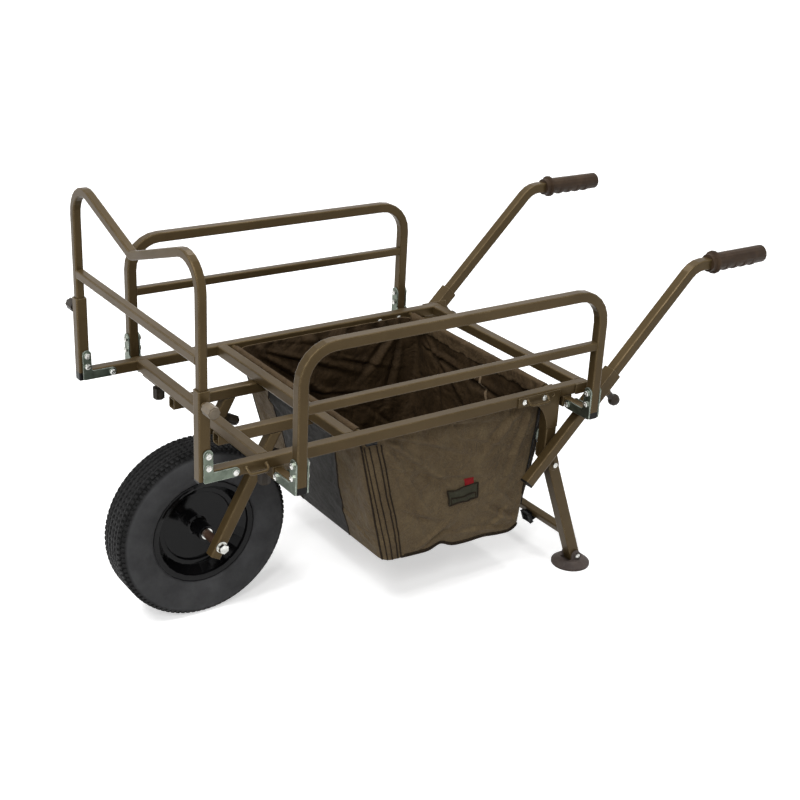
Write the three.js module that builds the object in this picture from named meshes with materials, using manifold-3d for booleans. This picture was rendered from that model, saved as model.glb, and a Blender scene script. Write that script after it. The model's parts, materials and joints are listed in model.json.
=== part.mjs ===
import * as THREE from 'three';
import { mergeVertices } from 'three/addons/utils/BufferGeometryUtils.js';
import Module from 'manifold-3d';

// A fishing trolley: one pneumatic wheel in a slanted fork, a welded deck of square tube, a folding
// telescopic front bar, two folding side bars, a folding rear leg frame with mud feet, two sliding
// handles and an open bag hung in the deck. Millimetres, +Z up, X along the trolley with the wheel
// towards -X and the handles towards +X. Lengths along X are measured from the axle, and the whole
// part is centred at the end. The near side is -Y and the far side is +Y.

const wasm = await Module();
wasm.setup();

// Driving dimensions: fits
const slip = 0.3;
const seam = 0.2;
const overrun = 5;

// Driving dimensions: tube stock
const frameTube = 25;
const barTube = 20;
const sideTube = 23;
const frontTube = 18.5;
const slimTube = 19;
const tubeWall = 2;
const tubeCorner = 3;
const capThickness = 3;
const capHoleRadius = 2.5;
const plateThickness = 3;

// Driving dimensions: wheel and fork
const wheelRadius = 200;
const tyreWidth = 100;
const treadDepth = 6;
const treadCount = 44;
const treadNotch = 7;
const grooveWidth = 4;
const grooveZigzag = 3;
const tyreWall = 8;
const sidewallHeight = 79.5;
const rimLipHeight = 10.5;
const rimWellDrop = 25.5;
const rimInset = 11;
const rimSheet = 2.5;
const rimShelf = 12;
const rimShelfRise = 7;
const hubRadius = 18.5;
const hubHalfLength = 50;
const bearingRadius = 13.5;
const bearingWidth = 12;
const axleRadius = 6;
const valveRadius = 3.5;
const valveReach = 45;
const valveAngle = 140;
const valveLength = 34;
const forkGap = 41;
const forkRake = 61.3;
const forkToe = 28;
const spacerRadius = 10;
const forkKnobReach = 228;

// Driving dimensions: deck. Lengths run from the axle to the front crossbar and on to the rear one
const deckClear = 65;
const railOffset = 290;
const frontCrossX = 7;
const railOverhang = 122;
const middleSpan = 202;
const rearSpan = 624.5;
const bagRodRadius = 6;
const bagRodFrontGap = 29;
const bagRodRearGap = 85.5;
const bagRodLift = 2.5;

// Driving dimensions: fasteners
const boltRadius = 4;
const boltHoleRadius = 4.6;
const boltHeadRadius = 6.5;
const boltHeadHeight = 4;
const axleNutRadius = 11;
const axleNutHeight = 12;
const washerRadius = 13;
const washerThickness = 2;
const screwRadius = 4;
const bossRadius = 8;
const bossHeight = 5;
const knobNeck = 4;
const knobRadius = 13;
const knobLength = 32;
const stubKnobRadius = 14;
const stubKnobLength = 28;
const forkKnobRadius = 12;
const forkKnobLength = 30;
const knobGroove = 1.6;
const knobLobes = 8;
const knobCrown = 2.5;

// Driving dimensions: front bar
const frontPostAhead = 15;
const frontPivotInset = 47.5;
const sleeveLength = 190;
const sleeveLift = 2;
const sleeveKnobDrop = 29;
const frontTubeInset = 109;
const frontVeeRise = 344.5;
const frontVeeShare = 0.325;
const frontBendRadius = 62;
const frontVeeRadius = 30;
const frontMidRise = 223.5;
const bracketArm = 20;
const bracketRise = 47;
const bracketInset = 7.5;
const bracketBoltLow = 22;
const bracketBoltPitch = 25;

// Driving dimensions: side bars
const sidePostFrontInset = 23;
const sidePostRearInset = 48.5;
const sideBarGap = 80;
const sidePivotGap = 17.5;
const sideTopRise = 250;
const sideMidRise = 127;
const sideBendRadius = 70;
const sideFootDrop = 9.5;
const sideBracketRise = 52;
const sideBoltLow = 25;
const sideBoltPitch = 26;
const receiverLength = 72;
const stubInset = 6;
const stubEndGap = 3;
const stubKnobInset = 57.5;

// Driving dimensions: rear leg frame
const legTube = 29;
const legCrossTube = 20;
const legPostInset = 89.5;
const legPostClear = 22;
const legPivotBehind = 18;
const legPivotDrop = 194;
const legRake = 20.5;
const legHeadReach = 13;
const legToeReach = 13;
const legCrossZ = 92;
const gussetFront = 106;
const gussetBoltFar = 92;
const gussetBoltNear = 34;
const gussetHole = 6;
const gussetSkirt = 70;
const gussetCurveX = 46;
const gussetCurveInset = 12;
const clevisLap = 30;
const clevisPlate = 2;
const footPinZ = 28;
const footRadius = 47;
const footRim = 5;
const footDomeRadius = 31;
const footDomeHeight = 17;
const footEarThickness = 5;
const footEarHalfWidth = 12;
const footFloor = 6;
const footSlotHalf = 22;
const footPinRadius = 3;

// Driving dimensions: lashing loops
const loopRod = 3;
const loopFrontHalf = 22;
const loopRearHalf = 28;
const loopReach = 18.5;
const loopBend = 9;
const loopTilt = 36;
const loopFrontAhead = 27;
const loopRearAhead = 52.5;

// Driving dimensions: handles
const handleTube = 25;
const handleSlip = 0.4;
const handleGap = 17.5;
const handleRake = 45;
const handleBehind = 58.5;
const handleLift = 10;
const handleTail = 317;
const handleBendRise = 243.5;
const handleBendRadius = 60;
const handleRun = 226;
const handleHolePitch = 50;
const handleHoleCount = 6;
const farHandlePull = 36;
const socketWall = 2.8;
const socketMouth = 14;
const socketTail = 99;
const socketPlateAhead = 27.5;
const socketPlateBehind = 46.5;
const plungerBack = 29;
const plungerRadius = 4;
const plungerBossRadius = 9;
const plungerBossLength = 15;
const ballRadius = 14.5;
const ballReach = 47;
const gripRadius = 21;
const gripFlangeRadius = 27.5;
const gripFlangeLength = 8;
const gripCollar = 16;
const gripLength = 180;
const gripEndWall = 6;
const gripRidge = 2.5;
const gripRidgePitch = 30;
const gripRidgeCount = 4;

// Driving dimensions: bag
const bagTopDrop = 12;
const bagSideGap = 9.5;
const bagDepthFront = 350;
const bagDepthRear = 374;
const bagTaperSide = 23;
const bagTaperFront = 98;
const bagTaperRear = 18;
const bagWall = 4;
const bagHemWall = 3;

// Smoothness: how many steps a bend, a corner and a round section take
const bendStep = THREE.MathUtils.degToRad(15);
const cornerSteps = 1;
const wheelSides = 28;
const roundSides = 16;
const boltSides = 12;
const rodSides = 8;
const loopSides = 6;

// Sizes worked out from the ones above: the wheel and its fork
const rimLipRadius = wheelRadius - sidewallHeight;
const rimSeatRadius = rimLipRadius - rimLipHeight;
const rimWellRadius = rimLipRadius - rimWellDrop;
const rimHalfWidth = tyreWidth / 2 - rimInset;
const innerBarOffset = tyreWidth / 2 + forkGap + frameTube / 2;

// Sizes worked out from the ones above: the deck and what it carries
const deckTop = 2 * wheelRadius + deckClear + frameTube;
const deckBottom = deckTop - frameTube;
const railMid = deckTop - frameTube / 2;
const railOuter = railOffset + frameTube / 2;
const railInner = railOffset - frameTube / 2;
const railFront = frontCrossX - railOverhang;
const middleCrossX = frontCrossX + middleSpan;
const rearCrossX = middleCrossX + rearSpan;
const railBack = rearCrossX + frameTube / 2;
const bagRodFrontX = middleCrossX + bagRodFrontGap;
const bagRodRearX = rearCrossX - bagRodRearGap;
const loopFrontX = frontCrossX - loopFrontAhead;

// Sizes worked out from the ones above: the front bar and the side bars
const frontPostX = railFront - frontPostAhead;
const frontPivotX = railFront + frontPivotInset;
const frontVeeZ = deckTop + frontVeeRise;
const frontMidZ = deckTop + frontMidRise;
const sidePostFrontX = frontCrossX + sidePostFrontInset;
const sidePostRearX = rearCrossX - sidePostRearInset;
const sideBarOffset = railOuter + sideBarGap;
const sidePivotOffset = railOuter + sidePivotGap;
const sideTopZ = deckTop + sideTopRise;
const sideMidZ = deckTop + sideMidRise;
const receiverInnerEnd = railOuter - receiverLength;
const stubInnerEnd = receiverInnerEnd + stubInset;
const stubOuterEnd = sideBarOffset - sideTube / 2 - stubEndGap;
const stubKnobOffset = railOuter - stubKnobInset;

// Sizes worked out from the ones above: the rear legs, the handles and the bag
const legPostX = rearCrossX - legPostInset;
const legPivotX = legPostX + legPivotBehind;
const legPivotZ = deckTop - legPivotDrop;
const gussetFrontX = legPostX - gussetFront;
const gussetBoltX1 = legPostX - gussetBoltFar;
const gussetBoltX2 = legPostX - gussetBoltNear;
const gussetHoleX = legPostX - gussetHole;
const loopRearX = legPostX - loopRearAhead;
const handleX = rearCrossX + handleBehind;
const handleZ = deckTop + handleLift;
const handleOffset = railOuter + handleGap;
const handleBendZ = deckTop + handleBendRise;
const socketPlateFront = rearCrossX - socketPlateAhead;
const socketPlateRear = rearCrossX + socketPlateBehind;
const bagTopZ = deckTop - bagTopDrop;
const bagFloorFrontZ = bagTopZ - bagDepthFront;
const bagFloorRearZ = bagTopZ - bagDepthRear;
const bagTopHalfWidth = railInner - bagSideGap;
const bagFloorHalfWidth = bagTopHalfWidth - bagTaperSide;
const bagFloorFrontX = bagRodFrontX + bagTaperFront;
const bagFloorRearX = bagRodRearX - bagTaperRear;

// Sizes worked out from the ones above: shared tube places and angles
const lowTubeMid = deckBottom - frameTube / 2;
const lowTubeBottom = deckBottom - frameTube;
const forkAngle = THREE.MathUtils.degToRad(forkRake);
const handleAngle = THREE.MathUtils.degToRad(handleRake);
const legAngle = THREE.MathUtils.degToRad(legRake);
const sides = [['near', -1], ['far', 1]];

const paint = 0x5b5140;
const looks = {
  paint: { color: paint, roughness: 0.5, metalness: 0.3 },
  zinc: { color: 0xa9b0ab, roughness: 0.35, metalness: 0.9 },
  steel: { color: 0xb9bab8, roughness: 0.3, metalness: 1 },
  gloss: { color: 0x101113, roughness: 0.15, metalness: 0.4 },
  tyre: { color: 0x2c2e30, roughness: 0.85, metalness: 0 },
  plastic: { color: 0x17181a, roughness: 0.5, metalness: 0 },
  brown: { color: 0x3e342a, roughness: 0.55, metalness: 0 },
  foot: { color: 0x4a4541, roughness: 0.7, metalness: 0 },
  cloth: { color: 0x57493b, roughness: 0.95, metalness: 0 },
};

const group = new THREE.Group();
const V = (x, y, z) => new THREE.Vector3(x, y, z);

// A closed three.js geometry as a solid for joining and cutting.
function solid(geometry) {
  const bare = geometry.clone();
  for (const name of Object.keys(bare.attributes)) if (name !== 'position') bare.deleteAttribute(name);
  const merged = mergeVertices(bare);
  const p = merged.attributes.position.array;
  const index = [];
  let volume = 0;
  for (let i = 0; i < merged.index.count; i += 3) {
    const [a, b, c] = merged.index.array.slice(i, i + 3);
    if (a === b || b === c || c === a) continue;
    index.push(a, b, c);
    volume += p[3 * a] * (p[3 * b + 1] * p[3 * c + 2] - p[3 * b + 2] * p[3 * c + 1])
      - p[3 * a + 1] * (p[3 * b] * p[3 * c + 2] - p[3 * b + 2] * p[3 * c])
      + p[3 * a + 2] * (p[3 * b] * p[3 * c + 1] - p[3 * b + 1] * p[3 * c]);
  }
  if (volume < 0) for (let i = 0; i < index.length; i += 3) [index[i], index[i + 1]] = [index[i + 1], index[i]];
  return new wasm.Manifold(new wasm.Mesh({
    numProp: 3, vertProperties: new Float32Array(p), triVerts: new Uint32Array(index),
  }));
}

function add(name, look, body) {
  const from = body.getMesh();
  const geometry = new THREE.BufferGeometry();
  geometry.setAttribute('position', new THREE.BufferAttribute(new Float32Array(from.vertProperties), 3));
  geometry.setIndex(new THREE.BufferAttribute(new Uint32Array(from.triVerts), 1));
  geometry.computeVertexNormals();
  const mesh = new THREE.Mesh(geometry, new THREE.MeshStandardMaterial(looks[look]));
  mesh.name = name;
  group.add(mesh);
  return mesh;
}

const join = (...bodies) => bodies.reduce((a, b) => a.add(b));
const cut = (body, ...tools) => tools.reduce((a, b) => a.subtract(b), body);

const box = (w, d, h, x, y, z) => solid(new THREE.BoxGeometry(w, d, h).translate(x, y, z));

// A round bar along one of the axes, centred at a point. Six sides make a bolt head.
function rod(radius, length, axis, x, y, z, count = boltSides) {
  const bar = new THREE.CylinderGeometry(radius, radius, length, count);
  if (axis === 'x') bar.rotateZ(-Math.PI / 2);
  if (axis === 'z') bar.rotateX(Math.PI / 2);
  return solid(bar.translate(x, y, z));
}

// A flat plate of a given outline: across Y its outline is drawn in X and Z, across X in Y and Z.
function plate(outline, axis, thickness, at) {
  const sheet = new THREE.ExtrudeGeometry(outline, {
    depth: thickness, bevelEnabled: false, curveSegments: 6,
  }).translate(0, 0, -thickness / 2);
  const turn = axis === 'y'
    ? new THREE.Matrix4().makeBasis(V(1, 0, 0), V(0, 0, 1), V(0, -1, 0))
    : new THREE.Matrix4().makeBasis(V(0, 1, 0), V(0, 0, 1), V(1, 0, 0));
  sheet.applyMatrix4(turn);
  return solid(axis === 'y' ? sheet.translate(0, at, 0) : sheet.translate(at, 0, 0));
}

function squareOutline(size, corner) {
  const h = size / 2;
  const s = new THREE.Shape();
  if (corner === 0) {
    s.moveTo(-h, -h).lineTo(h, -h).lineTo(h, h).lineTo(-h, h);
  } else {
    const c = h - corner;
    s.absarc(c, -c, corner, -Math.PI / 2, 0);
    s.absarc(c, c, corner, 0, Math.PI / 2);
    s.absarc(-c, c, corner, Math.PI / 2, Math.PI);
    s.absarc(-c, -c, corner, Math.PI, Math.PI * 3 / 2);
  }
  s.closePath();
  return s;
}

function roundOutline(radius) {
  const s = new THREE.Shape();
  s.absarc(0, 0, radius, 0, Math.PI * 2);
  return s;
}

// The stations of a flat route: straight runs joined by bends of one radius each.
function route(corners, radii) {
  const out = [];
  const runs = corners.slice(1).map((p, i) => p.clone().sub(corners[i]).normalize());
  out.push({ at: corners[0].clone(), to: runs[0].clone() });
  for (let i = 1; i < corners.length - 1; i++) {
    const [a, b, radius] = [runs[i - 1], runs[i], radii[i - 1]];
    const turn = a.angleTo(b);
    const start = corners[i].clone().addScaledVector(a, -radius * Math.tan(turn / 2));
    const axis = a.clone().cross(b).normalize();
    const centre = start.clone().addScaledVector(axis.clone().cross(a), radius);
    const steps = Math.max(2, Math.ceil(turn / bendStep));
    for (let k = 0; k <= steps; k++) {
      const angle = turn * k / steps;
      out.push({
        at: start.clone().sub(centre).applyAxisAngle(axis, angle).add(centre),
        to: a.clone().applyAxisAngle(axis, angle),
      });
    }
  }
  out.push({ at: corners.at(-1).clone(), to: runs.at(-1).clone() });
  return out;
}

class Track extends THREE.Curve {
  constructor(stations) {
    super();
    this.stations = stations;
  }

  getPointAt(u, target = new THREE.Vector3()) {
    return target.copy(this.stations[Math.round(u * (this.stations.length - 1))].at);
  }

  getTangentAt(u, target = new THREE.Vector3()) {
    return target.copy(this.stations[Math.round(u * (this.stations.length - 1))].to);
  }
}

function sweep(outline, stations, curveSegments = cornerSteps) {
  return solid(new THREE.ExtrudeGeometry(outline, {
    steps: stations.length - 1, curveSegments, extrudePath: new Track(stations),
  }));
}

// The same route made longer or shorter at its two ends.
function stretched(stations, atStart, atEnd) {
  const out = stations.map((s) => ({ at: s.at.clone(), to: s.to.clone() }));
  out[0].at.addScaledVector(out[0].to, -atStart);
  out.at(-1).at.addScaledVector(out.at(-1).to, atEnd);
  return out;
}

// A hollow square tube along a route. A closed end carries a cap with a small hole.
function tube(size, stations, capStart = 0, capEnd = 0, wall = tubeWall) {
  const outer = sweep(squareOutline(size, tubeCorner), stations);
  const bore = sweep(squareOutline(size - 2 * wall, 0),
    stretched(stations, capStart ? -capStart : overrun, capEnd ? -capEnd : overrun), 1);
  let body = cut(outer, bore);
  for (const [cap, end] of [[capStart, stations[0]], [capEnd, stations.at(-1)]]) {
    if (!cap) continue;
    const hole = [{ at: end.at.clone().addScaledVector(end.to, -2 * cap), to: end.to },
      { at: end.at.clone().addScaledVector(end.to, 2 * cap), to: end.to }];
    body = cut(body, sweep(roundOutline(capHoleRadius), hole, rodSides));
  }
  return body;
}

const run = (x1, y1, z1, x2, y2, z2) => route([V(x1, y1, z1), V(x2, y2, z2)], []);

// A bolt along an axis from its head's seat to its nut's seat, with the head and nut outside.
function bolt(axis, head, nut, x, y, z, count = rodSides, radius = boltRadius,
  headRadius = boltHeadRadius, headHeight = boltHeadHeight, washer = 0) {
  const way = Math.sign(nut - head);
  const spot = (t) => [axis === 'x' ? t : x, axis === 'y' ? t : y, axis === 'z' ? t : z];
  const reach = headHeight + washer;
  let body = join(
    rod(radius, Math.abs(nut - head) + reach, axis, ...spot((head + nut) / 2), count),
    rod(headRadius, headHeight, axis, ...spot(head - way * (washer + headHeight / 2)), 6),
    rod(headRadius, headHeight, axis, ...spot(nut + way * (washer + headHeight / 2)), 6),
  );
  if (washer) {
    body = join(body, rod(washerRadius, washer, axis, ...spot(head - way * washer / 2)),
      rod(washerRadius, washer, axis, ...spot(nut + way * washer / 2)));
  }
  return body;
}

// A grooved hand knob on its screw. It stands on a seat and points along a direction, and its
// screw reaches back from the seat by a depth.
function knob(direction, seat, depth, radius, length) {
  const outline = new THREE.Shape();
  for (let i = 0; i < 2 * knobLobes; i++) {
    const angle = i / knobLobes * Math.PI;
    const r = i % 2 ? radius - knobGroove : radius;
    const [x, y] = [r * Math.cos(angle), r * Math.sin(angle)];
    if (i) outline.lineTo(x, y);
    else outline.moveTo(x, y);
  }
  outline.closePath();
  const head = new THREE.ExtrudeGeometry(outline, { depth: length - knobCrown, bevelEnabled: false })
    .translate(0, 0, knobNeck);
  const whole = join(solid(head),
    rod(radius - 2 * knobGroove, length, 'z', 0, 0, knobNeck + length / 2),
    rod(bossRadius, 2 * knobNeck, 'z', 0, 0, knobNeck),
    rod(screwRadius, depth + knobNeck, 'z', 0, 0, (knobNeck - depth) / 2, rodSides));
  const turn = new THREE.Quaternion().setFromUnitVectors(V(0, 0, 1), direction);
  return whole.transform(new THREE.Matrix4().makeRotationFromQuaternion(turn).setPosition(seat).elements);
}

// A lashing loop: a U of round rod standing out from a face and drooping a little.
function loop(x, half, faceY, s, z) {
  const stations = route([V(-half, 0, 0), V(-half, loopReach, 0), V(half, loopReach, 0), V(half, 0, 0)],
    [loopBend, loopBend]);
  const u = new THREE.ExtrudeGeometry(roundOutline(loopRod), {
    steps: stations.length - 1, curveSegments: loopSides, extrudePath: new Track(stations),
  });
  u.rotateX(-THREE.MathUtils.degToRad(loopTilt));
  if (s < 0) u.rotateZ(Math.PI);
  return solid(u.translate(x, faceY, z));
}

// Deck: two long rails with the sleeves of the side bars welded under them
for (const [side, s] of sides) {
  let rail = tube(frameTube, run(railFront, s * railOffset, railMid, railBack, s * railOffset, railMid));
  for (const x of [sidePostFrontX, sidePostRearX]) {
    const length = railOuter - receiverInnerEnd;
    const mid = s * (railOuter + receiverInnerEnd) / 2;
    const receiver = join(
      box(frameTube, length, frameTube, x, mid, lowTubeMid),
      rod(bossRadius, 2 * bossHeight, 'z', x, s * stubKnobOffset, lowTubeBottom),
    );
    const bore = barTube + 2 * slip;
    rail = join(rail, box(frameTube, frameTube - 2 * tubeCorner, tubeWall, x, s * railOffset, deckBottom),
      cut(receiver, box(bore, length + overrun, bore, x, mid, lowTubeMid),
      rod(screwRadius + slip, frameTube, 'z', x, s * stubKnobOffset, lowTubeBottom)));
  }
  rail = join(rail, loop(loopFrontX, loopFrontHalf, s * (railOuter - tubeWall / 2), s, railMid + loopRod));
  rail = cut(rail, rod(boltRadius + slip, frameTube + overrun, 'y', frontPivotX, s * railOffset, railMid),
    ...[gussetBoltX1, gussetBoltX2].map((x) => rod(boltHoleRadius, frameTube + overrun, 'y', x,
      s * railOffset, railMid, rodSides)));
  add(`side_rail_${side}`, 'paint', rail);
}

// Deck: cross tubes between the rails, and two short bars under the front pair
for (const [name, x] of [['front', frontCrossX], ['middle', middleCrossX], ['rear', rearCrossX]]) {
  const end = railInner - seam;
  add(`${name}_crossbar`, 'paint', tube(frameTube, run(x, -end, railMid, x, end, railMid)));
}
const innerBarMid = lowTubeMid - seam;
for (const [side, s] of sides) {
  const y = s * innerBarOffset;
  add(`inner_bar_${side}`, 'paint', tube(frameTube, run(frontCrossX - frameTube / 2, y, innerBarMid,
    middleCrossX + frameTube / 2, y, innerBarMid)));
}

// Deck: the two rods that carry the bag
const bagRodZ = railMid + bagRodLift;
for (const [name, x] of [['front', bagRodFrontX], ['rear', bagRodRearX]]) {
  add(`bag_rod_${name}`, 'paint', rod(bagRodRadius, 2 * (railInner - seam), 'y', x, 0, bagRodZ));
}

// Fork: two slanted arms under the inner bars, an axle bolt and its spacers
const forkTopZ = innerBarMid - frameTube / 2 - seam;
const onFork = (z) => (z - wheelRadius) / Math.tan(forkAngle);
const forkUp = V(Math.cos(forkAngle), 0, Math.sin(forkAngle));
const forkBack = V(Math.sin(forkAngle), 0, -Math.cos(forkAngle));
for (const [side, s] of sides) {
  const y = s * innerBarOffset;
  const axle = V(0, y, wheelRadius);
  const stations = route([axle.clone().addScaledVector(forkUp, -forkToe),
    V(onFork(forkTopZ + frameTube), y, forkTopZ + frameTube)], []);
  const face = axle.clone().addScaledVector(forkUp, forkKnobReach).addScaledVector(forkBack, frameTube / 2);
  const along = new THREE.Matrix4().makeRotationFromQuaternion(
    new THREE.Quaternion().setFromUnitVectors(V(0, 0, 1), forkBack)).setPosition(face);
  const inBack = (body) => body.transform(along.elements);
  const arm = cut(join(tube(frameTube, stations, capThickness),
    inBack(rod(bossRadius, bossHeight + tubeWall, 'z', 0, 0, (bossHeight - tubeWall) / 2))),
  box(2 * wheelRadius, 2 * frameTube, 2 * frameTube, onFork(forkTopZ), y, forkTopZ + frameTube),
  rod(axleRadius + slip, frameTube + overrun, 'y', 0, y, wheelRadius),
  inBack(rod(screwRadius + slip, frameTube, 'z', 0, 0, 0)));
  add(`fork_arm_${side}`, 'paint', arm);
  const spacerFrom = hubHalfLength + slip;
  const spacerTo = innerBarOffset - frameTube / 2 - slip;
  add(`axle_spacer_${side}`, 'brown', cut(
    rod(spacerRadius, spacerTo - spacerFrom, 'y', 0, s * (spacerFrom + spacerTo) / 2, wheelRadius, roundSides),
    rod(axleRadius + slip, spacerTo, 'y', 0, s * (spacerFrom + spacerTo) / 2, wheelRadius)));
  add(`fork_knob_${side}`, 'plastic', knob(forkBack, face.clone().addScaledVector(forkBack, bossHeight + slip),
    bossHeight + tubeWall, forkKnobRadius, forkKnobLength));
}
const forkOuter = innerBarOffset + frameTube / 2 + slip;
add('axle_bolt', 'steel', bolt('y', -forkOuter, forkOuter, 0, 0, wheelRadius, boltSides, axleRadius,
  axleNutRadius, axleNutHeight, washerThickness));

// Wheel: solids turned about the axle. Outlines are pairs of radius and distance along the axle.
function turned(points, count = wheelSides) {
  const ring = new THREE.LatheGeometry([...points, points[0]].map(([r, y]) => new THREE.Vector2(r, y)), count);
  return solid(ring.translate(0, 0, wheelRadius));
}
const mirrored = (points) => [...points, ...points.map(([r, y]) => [r, -y]).reverse()];

// Tyre: a grid of stations round the wheel, so that its two grooves can zigzag
const half = tyreWidth / 2;
const beadRadius = rimSeatRadius + slip;
const beadHalf = rimHalfWidth - rimSheet - slip;
const lipClear = rimLipRadius + slip;
const wallHeight = wheelRadius - lipClear;
const sidewallShares = [[0.04, 0.82], [0.3, 0.97], [0.55, 1], [0.82, 0.95], [0.96, 0.8]];
const crownShare = 0.62;
const grooveShare = 0.26;
const tyreProfile = (zig) => {
  const side = [[beadRadius, beadHalf], [lipClear, beadHalf],
    ...sidewallShares.map(([h, w]) => [lipClear + h * wallHeight, w * half]), [wheelRadius, crownShare * half]];
  const groove = (y) => [[wheelRadius, y + grooveWidth / 2], [wheelRadius - treadDepth, y],
    [wheelRadius, y - grooveWidth / 2]];
  return [...side, ...groove(grooveShare * half + zig), ...groove(zig - grooveShare * half),
    ...side.map(([r, y]) => [r, -y]).reverse()];
};
const tyrePoints = [];
const tyreFaces = [];
const tyreRow = tyreProfile(0).length;
for (let i = 0; i < treadCount; i++) {
  const angle = i / treadCount * Math.PI * 2;
  for (const [r, y] of tyreProfile(i % 2 ? grooveZigzag : -grooveZigzag)) {
    tyrePoints.push(r * Math.sin(angle), y, wheelRadius + r * Math.cos(angle));
  }
  for (let k = 0; k < tyreRow; k++) {
    const next = (i + 1) % treadCount;
    const [a, b] = [i * tyreRow + k, i * tyreRow + (k + 1) % tyreRow];
    const [c, d] = [next * tyreRow + k, next * tyreRow + (k + 1) % tyreRow];
    tyreFaces.push(a, b, d, a, d, c);
  }
}
const tyreGrid = new THREE.BufferGeometry();
tyreGrid.setAttribute('position', new THREE.BufferAttribute(new Float32Array(tyrePoints), 3));
tyreGrid.setIndex(tyreFaces);
const airShares = [[0.1, 0.72], [0.5, 0.84], [0.78, 0.76]];
const airTop = wheelRadius - tyreWall - treadDepth;
const air = turned(mirrored([[beadRadius - overrun, -(beadHalf - tyreWall)], [lipClear, -(beadHalf - tyreWall)],
  ...airShares.map(([h, w]) => [lipClear + h * (airTop - lipClear), -w * half]), [airTop, -crownShare * half]]));
// Notches across both shoulders, between the grid's stations
const notchShares = { width: 0.92, radius: 0.985, size: 0.2 };
const notches = [];
for (let i = 0; i < treadCount; i++) {
  for (const way of [-1, 1]) {
    const size = notchShares.size * half;
    const notch = new THREE.BoxGeometry(treadNotch, size, size).rotateX(Math.PI / 4)
      .translate(0, way * notchShares.width * half, notchShares.radius * wheelRadius)
      .rotateY((i + 1 / 2) / treadCount * Math.PI * 2).translate(0, 0, wheelRadius);
    notches.push(solid(notch));
  }
}
add('tyre', 'tyre', cut(solid(tyreGrid), air, ...notches));

// Rim: a pressed barrel with rolled lips, a flat web and a hub tube, with the valve in the web
const coneShare = 0.72;
const webRadius = rimWellRadius - rimSheet - rimShelf;
const shelfY = rimSheet + rimShelfRise;
const rimSection = turned(mirrored([
  [bearingRadius, -hubHalfLength], [hubRadius, -hubHalfLength], [hubRadius, -2 * rimSheet],
  [hubRadius + 2 * rimSheet, -rimSheet], [webRadius, -rimSheet], [webRadius + rimSheet, -shelfY],
  [rimWellRadius - rimSheet, -shelfY], [rimSeatRadius - rimSheet, -coneShare * rimHalfWidth],
  [rimSeatRadius - rimSheet, -rimHalfWidth + rimSheet], [rimLipRadius - rimSheet, -rimHalfWidth],
  [rimLipRadius, -rimHalfWidth + rimSheet / 2], [rimLipRadius, -rimHalfWidth + rimSheet],
  [rimSeatRadius, -rimHalfWidth + rimSheet], [rimSeatRadius, rimSheet - coneShare * rimHalfWidth],
  [rimWellRadius, rimSheet - shelfY],
]));
const valveTurn = THREE.MathUtils.degToRad(valveAngle);
const valveX = valveReach * Math.cos(valveTurn);
const valveZ = wheelRadius + valveReach * Math.sin(valveTurn);
add('wheel_rim', 'gloss', join(rimSection,
  rod(valveRadius, valveLength, 'y', valveX, -valveLength / 2, valveZ, rodSides),
  rod(2 * valveRadius, 2 * valveRadius, 'y', valveX, -rimSheet - valveRadius, valveZ, rodSides)));
for (const [side, s] of sides) {
  const y = s * (hubHalfLength - bearingWidth / 2);
  add(`wheel_bearing_${side}`, 'steel', cut(
    rod(bearingRadius - slip, bearingWidth, 'y', 0, y, wheelRadius, roundSides),
    rod(axleRadius + slip, 2 * bearingWidth, 'y', 0, y, wheelRadius)));
}

// Front bar: an inverted U with a shallow dip, sliding in two sleeves that fold on plate brackets
const sleeveBottom = deckBottom + sleeveLift;
const sleeveTop = sleeveBottom + sleeveLength;
const peakZ = frontVeeZ + railOffset * frontVeeShare;
const frontFoot = sleeveTop - frontTubeInset;
add('front_bar_top', 'paint', tube(frontTube, route([
  V(frontPostX, railOffset, frontFoot), V(frontPostX, railOffset, peakZ), V(frontPostX, 0, frontVeeZ),
  V(frontPostX, -railOffset, peakZ), V(frontPostX, -railOffset, frontFoot),
], [frontBendRadius, frontVeeRadius, frontBendRadius])));
const frontMidEnd = railOffset - frontTube / 2 - seam;
add('front_bar_middle', 'paint', tube(slimTube, run(frontPostX, -frontMidEnd, frontMidZ,
  frontPostX, frontMidEnd, frontMidZ)));

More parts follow.
